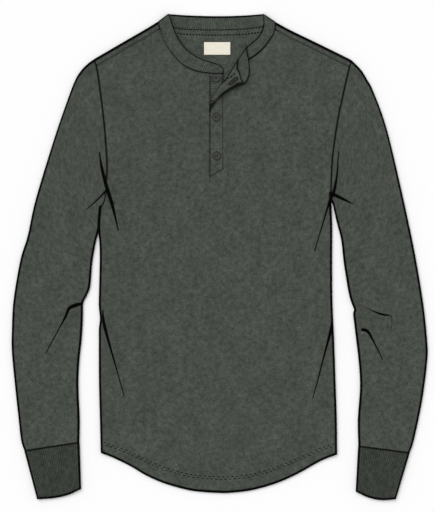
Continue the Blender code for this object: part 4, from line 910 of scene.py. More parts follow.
def make_back(shirt):
    """The back lies under the front and wraps over both shoulders to their seams."""
    edges, tops = [], []
    for side, stop in enumerate((PLACKET_RIGHT, PLACKET_LEFT)):
        steps = armhole_steps(lengths(ARMHOLE_LINES[side])[-1], BACK_ARMHOLE_ROWS)
        edges.append(side_rows(side, BACK_SIDE_ROWS, steps))
        along = steps_across(lengths(SHOULDER_LINES[side])[-1], SHOULDER_MIDDLE)
        shoulder = shoulder_columns(side, 0.0, along)
        neck = (BACK_NECK_LINE, BACK_NECK_LINE[::-1])[side]
        tops.append(np.vstack([shoulder, neck_columns(neck, 0.0, stop, end_steps=(0.0,))[1:]]))
    corner_columns = len(FINE_EDGE) * 2 + SHOULDER_MIDDLE
    plan = panel_plan(edges, tops, SLIT_COLUMNS)
    columns, fold_row = plan.shape[1], len(plan) - 1
    corners = (corner_columns - 1, columns - corner_columns)
    shoulders = (slice(0, corners[0] + 1), slice(corners[1], columns))
    fold = fold_distance(plan[:, :, 0], plan[:, :, 1])
    grid = np.dstack([plan, back_height(fold)])
    rows = [grid]
    for step in graded(SHOULDER_DROP, wide=WRAP_PITCH)[1:]:
        row = grid[-1].copy()
        for side, where in enumerate(shoulders):
            along = steps_across(lengths(SHOULDER_LINES[side])[-1], SHOULDER_MIDDLE)
            seam = shoulder_columns(side, SHOULDER_DROP, along)[::(1, -1)[side]]
            row[where, :2] += (seam - row[where, :2]) * step / SHOULDER_DROP
            x, y = row[where, :2].T
            row[where, 2] = front_height(x, y, fold_distance(x, y))
        rows.append(row[None])
    grid = np.vstack(rows)
    present = np.ones((len(grid) - 1, columns - 1), bool)
    present[fold_row:, corners[0]:corners[1]] = False
    plan = grid[:, :, :2]
    hem = row_distance(plan, 0)
    wrap = np.arange(len(grid)) > fold_row
    seam = np.where(wrap[:, None], row_distance(plan, -1), SEAM_REACH)
    number = np.arange(columns)
    neck = (number >= corners[0]) & (number <= corners[1])
    seam = np.where(neck[None] & ~wrap[:, None],
                    np.minimum(seam, FAINT_SEAM + row_distance(plan, fold_row)), seam)
    for column, line in ((0, SIDE_LINES[0]), (-1, SIDE_LINES[1]), (corners[0], None),
                         (corners[1], None)):
        if line is None:
            above = np.tile(wrap[:, None], (1, columns))
        else:
            above = grid[:, :, 1] > line[-1, 1]
        seam = np.where(above, np.minimum(seam, column_distance(plan, column)), seam)
    grid[:, :, 2] -= seam_dip(seam) * np.where(wrap[:, None], 1.0, 0.0)
    fold = fold_distance(grid[:, :, 0], grid[:, :, 1])
    # The fold and seam marks set where the finish paints shade.
    marks = {"fold": np.minimum(fold * SHOULDER_LINE, hem), "seam": seam,
             "thick": edge_thickness(np.minimum(seam, hem), CLOTH)}
    mesh = sheet_mesh(grid, plan * MM, marks, present)
    make_knit(shirt, "back_cloth", mesh, "back_panel")


# ---------------------------------------------------------------- sleeves and cuffs

def sleeve_plan(side, inner_line, outer_line, middle):
    """Plan points of one layer of a sleeve: rows from the cuff seam to the armhole, columns
    from the inner to the outer fold."""
    armhole = ARMHOLE_LINES[side]
    steps = steps_across(lengths(armhole)[-1], middle)
    top = points_at(armhole, steps)
    # At the armpit the sleeve's own fold lies beside the body's.
    top += (inner_line[-1] - armhole[0]) * np.exp(-steps / ARMPIT_FADE)[:, None]
    chord = top[0] + (top[-1] - top[0]) * (steps / steps[-1])[:, None]
    edge = np.array(FINE_EDGE) / lengths(outer_line)[-1]
    reach = np.concatenate([edge, np.linspace(edge[-1], 1.0 - edge[-1], SLEEVE_ROWS + 1)[1:-1],
                            1.0 - edge[::-1]])
    outer = points_at(outer_line, reach * lengths(outer_line)[-1])
    inner = points_at(inner_line, (1.0 - (1.0 - reach) ** INNER_LEAD) * lengths(inner_line)[-1])
    rows = []
    for share, start, end in zip(reach, inner, outer):
        width = np.linalg.norm(end - start)
        across = (steps_across(width, middle) / width)[:, None]
        rows.append(start + (end - start) * across + (top - chord) * share ** 3)
    rows[-1] = top
    return np.array(rows)


def ring_cloth(front, back):
    """Where a ring's points lie on its cloth, laid out flat: the front layer from the inner
    fold to the outer one, then the back layer to the inner fold again."""
    ring = np.concatenate([front, back[:, -2::-1]], axis=1)
    across = np.linalg.norm(np.diff(ring, axis=1), axis=2)
    across = np.hstack([np.zeros((len(ring), 1)), np.cumsum(across, axis=1)])
    middle = front[:, front.shape[1] // 2]
    along = np.concatenate([[0.0], np.cumsum(np.linalg.norm(np.diff(middle, axis=0), axis=1))])
    across -= across[:, -1:] / 4
    return ring, np.dstack([across, np.tile(along[:, None], (1, ring.shape[1]))])


def make_sleeve(shirt, name, side, inner_rows, outer_rows):
    lines = smooth_curve(inner_rows), smooth_curve(outer_rows)
    layers, marks = [], []
    for middle, is_front in ((SLEEVE_FRONT_COLUMNS, True), (SLEEVE_BACK_COLUMNS, False)):
        plan = sleeve_plan(side, *lines, middle)
        x, y = plan[:, :, 0], plan[:, :, 1]
        edge = np.minimum(column_distance(plan, 0), column_distance(plan, -1))
        seam = np.minimum(row_distance(plan, 0), row_distance(plan, -1))
        crease_gap = np.full(x.shape, CREASE_NEAR)
        crease_half = -crease_gap
        if is_front:
            from_cuff = row_distance(plan, 0)
            swell = CUFF_LIFT * np.exp(-(from_cuff / LOFT_REACH) ** 2)
            rise = (swell - seam_dip(seam)) * edge_round(edge, FOLD_RADIUS)
            height = front_height(x, y, edge) + rise
            _, crease_gap, crease_half = crease_marks(x, y)
        else:
            height = back_height(edge)
        layers.append(np.dstack([plan, height]))
        # Painted shade along the sleeve's folds, narrower or wider in places, and at its seams.
        inner = column_distance(plan, 0) * touch_line(x, y)
        start, reach = CAP_REACH
        cap = 1.0 - (1.0 - CAP_LINE) * ease((y - start) / reach)
        edge_shade = np.minimum(inner, column_distance(plan, -1) * cap)
        cuff_line = np.minimum(row_distance(plan, 0) * CUFF_SEAM_LINE,
                               row_distance(plan, -1) * ARMHOLE_LINE)
        marks.append({"fold": edge_shade, "seam": cuff_line, "crease_gap": crease_gap,
                      "crease_half": crease_half, "thick": edge_thickness(seam, CLOTH)})
    ring, cloth = ring_cloth(*layers)
    joined = {key: np.hstack([marks[0][key], marks[1][key][:, -2::-1]]) for key in marks[0]}
    mesh = sheet_mesh(ring, cloth * MM, joined)
    join_seams(mesh)
    make_knit(shirt, f"{name}_cloth", mesh, name)


def rib_profile(number):
    """Height of the ribs from 0 to 1: number counts ribs and their parts."""
    part = np.abs((number % 1.0) - 0.5) * 2.0
    return 1.0 - part ** 3


def make_cuff(shirt, name, inner_start, outer_start, end_rows):
    """A ribbed tube: rows from the open end to the sleeve."""
    end_line = smooth_curve(end_rows)
    start, stop = np.array(inner_start), np.array(outer_start)
    width = np.linalg.norm(stop - start)
    ribs = round(width / (shirt.rib_pitch / MM * CUFF_RIB_SHARE))
    share = np.linspace(0.0, 1.0, ribs * RIB_COLUMNS + 1)
    low = points_at(end_line, share * lengths(end_line)[-1])
    high = start + (stop - start) * share[:, None]
    deep = np.linalg.norm(high - low, axis=1).mean()
    half = graded(deep / 2, wide=CUFF_PITCH)
    reach = np.concatenate([half, deep - half[-2::-1]])
    plan = low + (high - low) * (reach / deep)[:, None, None]
    edge = np.tile(np.minimum(share, 1.0 - share) * width, (len(plan), 1))
    open_end = np.tile(reach[:, None], (1, len(share)))
    seam = deep - open_end
    layers = []
    for is_front in (True, False):
        level = np.full(edge.shape, RIB_CLOTH / 2)
        if is_front:
            level = RIB_CLOTH * 1.5 + LAYER + CUFF_LOFT * np.exp(-(edge / LOFT_REACH) ** 2)
            raised = shirt.rib_height / MM * rib_profile(share * ribs)[None]
            fade = ease((open_end - CUFF_RIB_START) / RIB_FADE) * ease(seam / SEAM_REACH)
            level = level + raised * fade - seam_dip(seam)
        height = CUFF_FOLD_LEVEL + (level - CUFF_FOLD_LEVEL) * edge_round(edge, CUFF_FOLD_RADIUS)
        layers.append(np.dstack([plan, height]))
    ring, cloth = ring_cloth(*layers)
    number = np.concatenate([share * ribs, ribs + share[1:] * ribs])
    cloth = np.dstack([np.tile(number * shirt.rib_pitch / MM, (len(plan), 1)), cloth[:, :, 1]])
    # Painted shade along the cuff's folds, its open end and its seam.
    both = {"fold": np.minimum(edge * CUFF_SIDE_LINE, open_end * CUFF_END_LINE),
            "seam": seam * CUFF_SEAM_LINE,
            "thick": edge_thickness(np.minimum(seam, open_end), RIB_CLOTH)}
    marks = {key: np.hstack([mark, mark[:, -2::-1]]) for key, mark in both.items()}
    mesh = sheet_mesh(ring, cloth * MM, marks)
    join_seams(mesh)
    make_sheet(f"{name}_rib", mesh, RIB_CLOTH, rib_finish(shirt, "cuff_ribbing", CUFF_GROOVE),
               name)


# ---------------------------------------------------------------- neckband

def band_stretch(seam_line, top_line, pitch):
    """Plan points of a stretch of the band, (rows, stations, 2), with each station's distance
    from the first corner, the stretch's length and how many ribs it has."""
    width = (lengths(seam_line)[-1] + lengths(top_line)[-1]) / 2
    ribs = round(width / pitch)
    steps = np.linspace(0.0, width, ribs * RIB_COLUMNS + 1)
    seam = points_at(seam_line, steps / width * lengths(seam_line)[-1])
    top = points_at(top_line, steps / width * lengths(top_line)[-1])
    plan = np.array([seam + (top - seam) * share for share in BAND_SHARES])
    return plan, steps, width, ribs


def make_neckband(shirt):
    """One strip: from the underlap's edge up to the right shoulder corner, under and along the
    back neck, up and over the left corner, and down to the overlap's end."""
    pitch = shirt.rib_pitch / MM
    share = np.array(BAND_SHARES)[:, None]
    stretches, numbers, folds = [], [], []
    count = 0
    shapes = ((BAND_SEAM_LINES[0], RIGHT_BAND_TOP), (BACK_NECK_LINE, BACK_BAND_TOP),
              (BAND_SEAM_LINES[1], LEFT_BAND_TOP))
    for order, (seam_line, top_rows) in enumerate(shapes):
        plan, steps, width, ribs = band_stretch(seam_line, smooth_curve(top_rows), pitch)
        number = steps / width * ribs
        if order == 1:
            edge = np.tile(np.minimum(steps, width - steps), (len(share), 1))
            height = RIB_CLOTH / 2 * np.ones(edge.shape)
        else:
            edge = np.tile(steps, (len(share), 1))
            free = width - steps
            if order == 2:
                free = -roll_place(plan[:, :, 0], plan[:, :, 1])[0]
            rise = BAND_RISE * share ** 2 * ease((free - BAND_RISE_START) / BAND_RISE_FADE)
            height = (CLOTH + LAYER + RIB_CLOTH / 2 + rise
                      + BAND_LOFT * np.exp(-(edge / LOFT_REACH) ** 2))
        height = BAND_FOLD_LEVEL + (height - BAND_FOLD_LEVEL) * edge_round(edge, BAND_FOLD_RADIUS)
        if order == 2:
            height = height + placket_lift(plan[:, :, 0], plan[:, :, 1])
        if order == 0:
            plan, height, edge = plan[:, ::-1], height[:, ::-1], edge[:, ::-1]
            number = ribs - number[::-1]
        else:
            plan, height, edge = plan[:, 1:], height[:, 1:], edge[:, 1:]
            number = number[1:]
        stretches.append(np.dstack([plan, height]))
        numbers.append(count + number)
        folds.append(edge)
        count += ribs
    grid, number, fold = np.hstack(stretches), np.concatenate(numbers), np.hstack(folds)
    depth = np.linalg.norm(grid[-1, :, :2] - grid[0, :, :2], axis=1)[None]
    seam = share * depth
    top = (1.0 - share) * depth
    from_start = column_distance(grid[:, :, :2], 0)
    from_end = column_distance(grid[:, :, :2], -1)
    ends = np.minimum(from_start, from_end)
    fade = ease(seam / SEAM_REACH) * ease(top / RIB_FADE) * ease(ends / RIB_FADE)
    raised = shirt.rib_height / MM * rib_profile(number)[None] * fade
    normal = grid_normals(grid)
    normal *= np.where(normal[:, :, 2:] < 0, -1.0, 1.0)
    upward = len(numbers[0]) + len(numbers[1])
    on_back = (np.arange(grid.shape[1]) >= len(numbers[0])) & (np.arange(grid.shape[1]) < upward)
    grid = grid + normal * raised[:, :, None]
    grid[:, :, 2] -= np.where(on_back[None], 0.0, seam_dip(seam))
    on_left = np.arange(grid.shape[1]) >= upward
    beyond, _ = roll_place(grid[:, :, 0], grid[:, :, 1])
    crest = np.where(on_left[None], crest_distance(grid[:, :, 0], grid[:, :, 1]), CREASE_NEAR)
    # Painted shade along the band's top edge, ends and folds, and along the crest where it is turned
    # out.
    thin_line = np.where(on_left, FRONT_TOP_LINES[1], FRONT_TOP_LINES[0])
    thin_line = np.where(on_back, BACK_TOP_LINE, thin_line)[None]
    edge_shade = np.minimum(np.minimum(top * thin_line, ends * END_LINE), fold + BAND_FOLD_MARK)
    turned = on_left[None] & (beyond > 0.0)
    edge_shade = np.where(turned, edge_shade * TURNED_TOP_LINE, edge_shade)
    strong = np.where(on_left, NECK_SEAM_LINE, 1.0)[None]
    line = np.where(on_back[None], FAINT_SEAM + seam, seam * strong)
    marks = {"fold": np.minimum(edge_shade, crest),
             "seam": np.where(turned, TURNED_SEAM_MARK + seam * TURNED_SEAM_LINE, line),
             "opened": on_left[None] * ease(beyond / ROLL_RADIUS),
             "turning": on_left[None] & turning_points(grid[:, :, 0], grid[:, :, 1]),
             "thick": edge_thickness(np.minimum(np.minimum(seam, top), ends), RIB_CLOTH)}
    cloth = np.dstack([np.tile(number * pitch, (len(share), 1)), seam])
    mesh = sheet_mesh(grid, cloth * MM, marks)
    turn_out(mesh)
    make_sheet("neckband_rib", mesh, RIB_CLOTH, rib_finish(shirt, "band_ribbing", BAND_GROOVE),
               "neckband")


# ---------------------------------------------------------------- placket

def strip_places(low_x, high_x, side):
    """Plan of a placket strip, from its slanted foot to the neckband's seam, with each
    point's distances from its right edge, its left edge, its foot and its top."""
    width = high_x - low_x
    steps = steps_across(width, STRIP_COLUMNS)
    x = low_x + steps
    order = np.argsort(BAND_SEAM_LINES[side][:, 0])
    top = np.interp(x, BAND_SEAM_LINES[side][order, 0], BAND_SEAM_LINES[side][order, 1])
    slope = (PLACKET_FOOT[1] - PLACKET_FOOT[0]) / (PLACKET_LEFT - PLACKET_RIGHT)
    foot = PLACKET_FOOT[0] + (x - PLACKET_RIGHT) * slope
    tall = float(np.mean(top - foot))
    rise = steps_across(tall, STRIP_ROWS)[:, None] / tall
    y = foot + (top - SEAM - foot) * rise
    x = np.tile(x, (len(y), 1))
    return x, y, x - low_x, high_x - x, y - foot, top - SEAM - y


def make_placket_under(shirt):
    x, y, to_seam, to_edge, to_foot, to_top = strip_places(PLACKET_RIGHT + SEAM, UNDERLAP_EDGE, 0)
    seam = np.minimum(to_foot, to_top)
    edge = np.minimum(np.minimum(seam, to_seam), to_edge)
    height = FRONT_LEVEL - seam_dip(seam)
    shade = np.minimum(faint_shade(to_edge, UNDERLAP_SHADE),
                       faint_shade(to_seam, SLIT_SHADE))
    marks = {"fold": shade, "seam": seam, "thick": edge_thickness(edge, CLOTH)}
    mesh = sheet_mesh(np.dstack([x, y, height]), np.dstack([x, y]) * MM, marks)
    make_knit(shirt, "placket_under_cloth", mesh, "placket_under")


def make_placket_over(shirt):
    x, y, to_edge, to_seam, to_foot, to_top = strip_places(PLACKET_RIGHT - PLACKET_LIP,
                                                           PLACKET_LEFT - SEAM, 1)
    seam = np.minimum(to_foot, to_top)
    edge = np.minimum(np.minimum(seam, to_seam), to_edge)
    height = sheet_height(x, y) - seam_dip(seam)
    # Painted shade along the overlap's edge, flat and turned, and along the crest.
    turned = faint_shade(to_edge * np.interp(y, *np.transpose(TURNED_LINE)), TURNED_SHADE)
    line = np.where(y < ROLL_START[1], faint_shade(to_edge, OVERLAP_SHADE), turned)
    marks = {"fold": np.minimum(line, crest_distance(x, y)),
             "seam": np.minimum(FAINT_SEAM + to_foot, TURNED_SEAM_MARK + to_top * TURNED_SEAM_LINE),
             "thick": edge_thickness(edge, CLOTH),
             "turning": turning_points(x, y)}
    mesh = sheet_mesh(np.dstack([x, y, height]), np.dstack([x, y]) * MM, marks)
    turn_out(mesh)
    make_knit(shirt, "placket_over_cloth", mesh, "placket_over")


# ---------------------------------------------------------------- sewing

def sew(mesh, path, length, gap, radius, start=0.0):
    """Adds a row of stitches along a path of points: each a short drawn-in length of thread."""
    path = np.array(path, float)
    along = np.concatenate([[0.0], np.cumsum(np.linalg.norm(np.diff(path, axis=0), axis=1))])
    for first in np.arange(start, along[-1] - length + 0.01, length + gap):
        ends = [Vector([float(np.interp(place, along, path[:, axis])) for axis in range(3)])
                for place in (first, first + length)]
        span = ends[1] - ends[0]
        turn = span.to_track_quat("X", "Z").to_matrix().to_4x4()
        shape = Matrix.Diagonal((span.length / 2, radius, radius * STITCH_FLATNESS, 1.0))
        place = Matrix.Translation((ends[0] + ends[1]) / 2)
        bmesh.ops.create_icosphere(mesh, subdivisions=2, radius=1.0, matrix=place @ turn @ shape)


def front_top(x, y):
    """Upper surface of the front's cloth."""
    return (front_height(x, y, fold_distance(x, y)) + hem_relief(x, y) + CLOTH / 2
            + np.where(x > PLACKET_RIGHT, placket_lift(x, y), 0.0))


def on_front(plan, sink=0.0):
    """A path in plan, laid on the front's upper surface."""
    x, y = np.asarray(plan, float).T
    return np.column_stack([x, y, front_top(x, y) - sink])


def hem_path(back):
    """The hem's line of stitches at a distance below its upper one, clear of the sides."""
    x = np.linspace(HEM[0][0] + HEM_STITCH_INSET, HEM[-1][0] - HEM_STITCH_INSET, HEM_POINTS)
    y = np.interp(x, HEM_LINE[:, 0], HEM_LINE[:, 1]) + hem_depth(x) - back
    return np.column_stack([x, y])


def stitch_sizes(shirt):
    """Length and gap of the stitches, and half the thread's thickness, in millimetres."""
    return shirt.stitch_length / MM, shirt.stitch_gap / MM, shirt.thread / MM / 2


def make_hem_stitches(shirt):
    length, gap, radius = stitch_sizes(shirt)
    for name, layer in (("front_hem_stitches", "front"), ("back_hem_stitches", "back")):
        mesh = bmesh.new()
        for back, start in ((0.0, 0.0), (TWIN_GAP, (length + gap) / 2)):
            path = hem_path(back)
            if layer == "front":
                path = on_front(path, STITCH_SINK)
            else:
                inside = BACK_LEVEL + CLOTH / 2
                path = np.column_stack([path, np.full(len(path), inside)])
            sew(mesh, path, length, gap, radius, start)
        link(name, mesh, thread_finish(shirt))


def offset_line(line, distance):
    """A line moved in plan to its left by a distance."""
    step = np.gradient(line[:, :2], axis=0)
    step /= np.linalg.norm(step, axis=1, keepdims=True)
    return line[:, :2] + np.column_stack([-step[:, 1], step[:, 0]]) * distance


def make_neck_stitches(shirt):
    """Two rows inside the back neck, and the cover stitch beside the band's seam in front."""
    length, gap, radius = stitch_sizes(shirt)
    inside = BACK_LEVEL + CLOTH / 2 + 0.1
    mesh = bmesh.new()
    long, space, thick = NECK_STITCH
    for distance, start in zip(NECK_ROWS, (0.0, (length + gap) / 2)):
        row = offset_line(BACK_NECK_LINE, distance)
        row = row[np.abs(row[:, 0]) < BACK_NECK_REACH]
        sew(mesh, np.column_stack([row, np.full(len(row), inside)]), length * long, gap * space,
            radius * thick, start)
    link("back_neck_stitches", mesh, thread_finish(shirt))
    mesh = bmesh.new()
    row = offset_line(BAND_SEAM_LINES[0], BAND_STITCH_ROW)[8:]
    row = row[row[:, 0] < PLACKET_RIGHT]
    long, space, thick = BAND_STITCH
    sew(mesh, on_front(row, BAND_STITCH_SINK), length * long, gap * space, radius * thick)
    link("neck_seam_stitches", mesh, thread_finish(shirt))


def make_shoulder_stitches(shirt):
    """A tonal row on each forward shoulder seam."""
    mesh = bmesh.new()
    for side in (0, 1):
        along = np.linspace(0.0, lengths(SHOULDER_LINES[side])[-1], LINE_POINTS)
        row = shoulder_columns(side, SHOULDER_DROP, along)[1:-1]
        x, y = row.T
        height = front_height(x, y, fold_distance(x, y)) + SHOULDER_PROUD
        radius = shirt.thread / MM / 2 * SHOULDER_THREAD
        sew(mesh, np.column_stack([row, height]), *SHOULDER_STITCH, radius)
    link("shoulder_stitches", mesh, seam_finish(shirt))


def upright(x, low, high):
    """Points of a line up the placket."""
    y = np.linspace(low, high, LINE_POINTS)
    return np.column_stack([np.full(LINE_POINTS, x), y])


def on_under(plan):
    """A path laid on the underlap."""
    return np.column_stack([plan, np.full(len(plan), FRONT_LEVEL + CLOTH / 2)])


def on_turned(plan):
    """A path on the inside of the overlap, where the turned corner shows it."""
    x, y = plan.T
    flat = np.column_stack([plan, sheet_height(x, y) - CLOTH / 2 - TURNED_PROUD])
    return rolled(flat)


def make_placket_stitches(shirt):
    """Top stitching along both sides of the placket, and the slanted row across its foot."""
    dot, gap, radius = DOT_LENGTH, DOT_GAP, shirt.thread / MM / 2 * DOT_WIDTH
    mesh = bmesh.new()
    seam = upright(PLACKET_LEFT - STITCH_INSET, PLACKET_FOOT[1] + 1.0, BAND_SEAM_LINES[1][-1, 1])
    beyond, _ = roll_place(*seam.T)
    sew(mesh, on_front(seam[beyond < -STITCH_STOP], STITCH_SINK), dot, gap, radius)
    sew(mesh, on_turned(smooth_curve(TURNED_ROW)), TURNED_STITCH, TURNED_GAP, radius)
    edge = upright(PLACKET_RIGHT + UNDERLAP_ROW, ROLL_START[1] + 4.0, BAND_SEAM_LINES[0][-8, 1] - 1.0)
    long, thick = UNDERLAP_STITCH
    sew(mesh, on_under(edge), dot * long, gap, radius * thick)
    foot = np.linspace((PLACKET_RIGHT, PLACKET_FOOT[0]), (PLACKET_LEFT, PLACKET_FOOT[1]),
                       CORNER_POINTS)
    foot[:, 1] += STITCH_INSET
    sew(mesh, on_front(foot, -0.05), dot, gap, radius)
    link("placket_stitches", mesh, thread_finish(shirt))


def make_buttonholes(shirt):
    """Sewn boxes: the top one shows on the turned corner, the others under their buttons."""
    mesh = bmesh.new()
    aside = BUTTONHOLE_WIDTH / 2
    for order, (x, y, _) in enumerate(BUTTONS):
        lay, lean, half = on_front, 0.0, BUTTONHOLES[order] / 2
        if order == 0:
            lay, lean = on_turned, math.tan(BUTTONHOLE_LEAN)
            x, y = x + BUTTONHOLE_SHIFT[0], y + BUTTONHOLE_SHIFT[1]
        corners = [(x + across + along * lean, y + along)
                   for across, along in ((-aside, -half), (-aside, half), (aside, half),
                                         (aside, -half), (-aside, -half))]
        for start, end in zip(corners, corners[1:]):
            path = lay(np.linspace(start, end, CORNER_POINTS))
            length = np.linalg.norm(np.diff(path, axis=0), axis=1).sum()
            sew(mesh, path, *(share * length for share in LINE_PARTS), BUTTONHOLE_THREAD)
    link("buttonholes", mesh, thread_finish(shirt))


# ---------------------------------------------------------------- buttons and label

def make_button(shirt, number, x, y, base):
    """A turned disc with a raised rim and a dished middle, four holes and its thread."""
    radius, thick, rim = BUTTON_RADIUS, BUTTON_THICKNESS, BUTTON_RIM
    profile = ((0.0, thick - BUTTON_DISH), (radius - 2.1 * rim, thick - BUTTON_DISH),
               (radius - 1.6 * rim, thick - 0.8 * BUTTON_DISH), (radius - rim, thick - 0.1),
               (radius - 0.7 * rim, thick), (radius - 0.3 * rim, thick - 0.06),
               (radius - 0.06 * rim, thick * 0.82), (radius, thick * 0.65),
               (radius - 0.04 * rim, thick * 0.45), (radius - 0.35 * rim, thick * 0.16),
               (radius - 0.8 * rim, 0.0), (0.0, 0.0))
    mesh = bmesh.new()
    ring = mesh.verts.layers.float.new("radius")
    corners = [mesh.verts.new((r, 0.0, z)) for r, z in profile]
    for corner, (r, _) in zip(corners, profile):
        corner[ring] = r
    edges = [mesh.edges.new(pair) for pair in zip(corners, corners[1:])]
    bmesh.ops.spin(mesh, geom=corners + edges, axis=(0.0, 0.0, 1.0), cent=(0.0, 0.0, 0.0),
                   angle=math.tau, steps=BUTTON_SIDES, use_merge=True)
    join_seams(mesh)
    bmesh.ops.translate(mesh, vec=(x, y, base), verts=mesh.verts)
    piece = link(f"button_{number}_disc", mesh, button_finish(shirt))
    punch = bmesh.new()
    holes = [(x + math.cos(angle) * BUTTON_HOLE_OFFSET, y + math.sin(angle) * BUTTON_HOLE_OFFSET)
             for angle in (math.radians(45.0 + 90.0 * quarter) for quarter in range(4))]
    for hole_x, hole_y in holes:
        place = Matrix.Translation((hole_x, hole_y, base + thick / 2))
        bmesh.ops.create_cone(punch, cap_ends=True, segments=16, depth=3 * thick, matrix=place,
                              radius1=BUTTON_HOLE_RADIUS, radius2=BUTTON_HOLE_RADIUS)
    bmesh.ops.scale(punch, vec=(MM, MM, MM), verts=punch.verts)
    data = bpy.data.meshes.new(f"punch_{number}")
    punch.to_mesh(data)
    punch.free()
    cutter = bpy.data.objects.new(f"punch_{number}", data)
    bpy.context.scene.collection.objects.link(cutter)
    cut = piece.modifiers.new("holes", "BOOLEAN")
    cut.operation = "DIFFERENCE"
    cut.object = cutter
    apply_modifiers(piece)
    piece.data.set_sharp_from_angle(angle=math.radians(40.0))
    bpy.data.objects.remove(cutter, do_unlink=True)
    bpy.data.meshes.remove(data)
    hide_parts(f"button_{number}")
    mesh = bmesh.new()
    for first, second in ((1, 2), (0, 3)):
        level = base + thick - BUTTON_DISH
        path = [(*holes[first], level), (*holes[second], level)]
        sew(mesh, path, math.dist(*path) - 0.1, 1.0, 0.4)
    for hole_x, hole_y in holes:
        place = Matrix.Translation((hole_x, hole_y, base + 0.4))
        bmesh.ops.create_cone(mesh, cap_ends=True, segments=8, depth=thick - 0.9, radius1=0.6,
                              radius2=0.6, matrix=place @ Matrix.Translation((0.0, 0.0, 0.6)))
    link(f"button_{number}_thread", mesh, thread_finish(shirt))


def make_label(shirt):
    """A woven label with a folded, sewn border, on the inside of the back under the neck."""
    across, tall, thick = LABEL_SIZE
    mesh = bmesh.new()
    flat = mesh.loops.layers.uv.new("UVMap")
    bmesh.ops.create_grid(mesh, x_segments=LABEL_CELLS[0], y_segments=LABEL_CELLS[1], size=0.5)
    base = CLOTH + LAYER
    layer = mesh.verts.layers.float.new("thick")
    for vert in mesh.verts:
        x, y = vert.co.x * across, vert.co.y * tall
        edge = min(across / 2 - abs(x), tall / 2 - abs(y))
        vert[layer] = float(edge_thickness(edge, thick))
        curl = 0.25 * math.sin(x / across * 2.4 + 0.4) * math.cos(y / tall * 2.0)
        border = 0.18 * float(ease(1.0 - abs(edge - LABEL_BORDER) / 0.8))
        height = base + thick / 2 + 0.3 + curl - border
        vert.co = (LABEL_CENTRE[0] + x, LABEL_CENTRE[1] + y, height)
    for face in mesh.faces:
        for loop in face.loops:
            loop[flat].uv = ((loop.vert.co.x - LABEL_CENTRE[0]) * MM,
                             (loop.vert.co.y - LABEL_CENTRE[1]) * MM)
    make_sheet("label_cloth", mesh, thick, label_finish(shirt), "label")
    mesh = bmesh.new()
    corners = [(LABEL_CENTRE[0] + right * (across / 2 - LABEL_BORDER),
                LABEL_CENTRE[1] + up * (tall / 2 - LABEL_BORDER), base + thick + 0.2)
               for right, up in ((-1, -1), (1, -1), (1, 1), (-1, 1), (-1, -1))]
    for start, end in zip(corners, corners[1:]):
        sew(mesh, (start, end), *LABEL_STITCH)
    link("label_stitches", mesh, label_thread_finish(shirt))


# ---------------------------------------------------------------- finishes

def add_node(tree, kind, inputs=(), **settings):
    """A node with its inputs set, or linked where an input is another node's socket."""
    made = tree.nodes.new("ShaderNode" + kind)
    for name, value in settings.items():
        setattr(made, name, value)
    for key, value in dict(inputs).items():
        if isinstance(value, bpy.types.NodeSocket):
            tree.links.new(value, made.inputs[key])
        else:
            made.inputs[key].default_value = value
    return made


def calculate(tree, operation, *values):
    return add_node(tree, "Math", enumerate(values), operation=operation).outputs[0]


def map_range(tree, value, low, high, to_low, to_high, smooth=True):
    settings = {"Value": value, "From Min": low, "From Max": high, "To Min": to_low,
                "To Max": to_high}
    kind = "SMOOTHSTEP" if smooth else "LINEAR"
    return add_node(tree, "MapRange", settings, interpolation_type=kind).outputs[0]


def mark(tree, name):
    return add_node(tree, "Attribute", attribute_name=name).outputs["Fac"]


def fibre_noise(tree, place, scale, detail=2.0, roughness=0.55):
    """Noise over the cloth, finer or coarser along each way of the knit."""
    mapped = add_node(tree, "Mapping", {"Vector": place, "Scale": (*scale, 1.0)}).outputs[0]
    return add_node(tree, "TexNoise", {"Vector": mapped, "Scale": 1.0, "Detail": detail,
                                       "Roughness": roughness}).outputs[0]


def start_finish(name, roughness, sheen, gloss=0.05):
    finish = bpy.data.materials.new(name)
    finish.use_nodes = True
    tree = finish.node_tree
    shader = tree.nodes["Principled BSDF"]
    shader.inputs["Roughness"].default_value = roughness
    shader.inputs["Sheen Weight"].default_value = sheen
    shader.inputs["Specular IOR Level"].default_value = gloss
    shader.inputs["Sheen Roughness"].default_value = 0.5
    return finish, tree, shader


def heather(tree, place):
    """The yarn's mottling, around 1: short streaks both ways, blotches and upright bands."""
    up = fibre_noise(tree, place, STREAK_SCALE)
    across = fibre_noise(tree, place, STREAK_SCALE[::-1])
    blotch = fibre_noise(tree, place, (120.0, 120.0), 4.0, 0.62)
    cloud = fibre_noise(tree, place, (38.0, 22.0), 3.0)
    streaks = calculate(tree, "ADD", calculate(tree, "MULTIPLY", up, 0.28),
                        calculate(tree, "MULTIPLY", across, 0.25))
    mixed = calculate(tree, "ADD", streaks, calculate(tree, "MULTIPLY", blotch, 0.47))
    fine = map_range(tree, mixed, 0.38, 0.62, 0.65, 1.35, smooth=False)
    broad = map_range(tree, cloud, 0.3, 0.7, 0.87, 1.13, smooth=False)
    return calculate(tree, "MULTIPLY", fine, broad)


def melange(tree, place, colour):
    """The colour, leaning to green and to brown in patches."""
    patch = fibre_noise(tree, place, (150.0, 150.0), 2.0)
    lean = map_range(tree, patch, 0.35, 0.65, 0.0, 1.0, smooth=False)
    green = [part * share for part, share in zip(colour, GREEN_LEAN)]
    brown = [part * share for part, share in zip(colour, BROWN_LEAN)]
    mixed = add_node(tree, "Mix", {0: lean, 6: (*green, 1.0), 7: (*brown, 1.0)},
                     data_type="RGBA")
    return mixed.outputs[2]


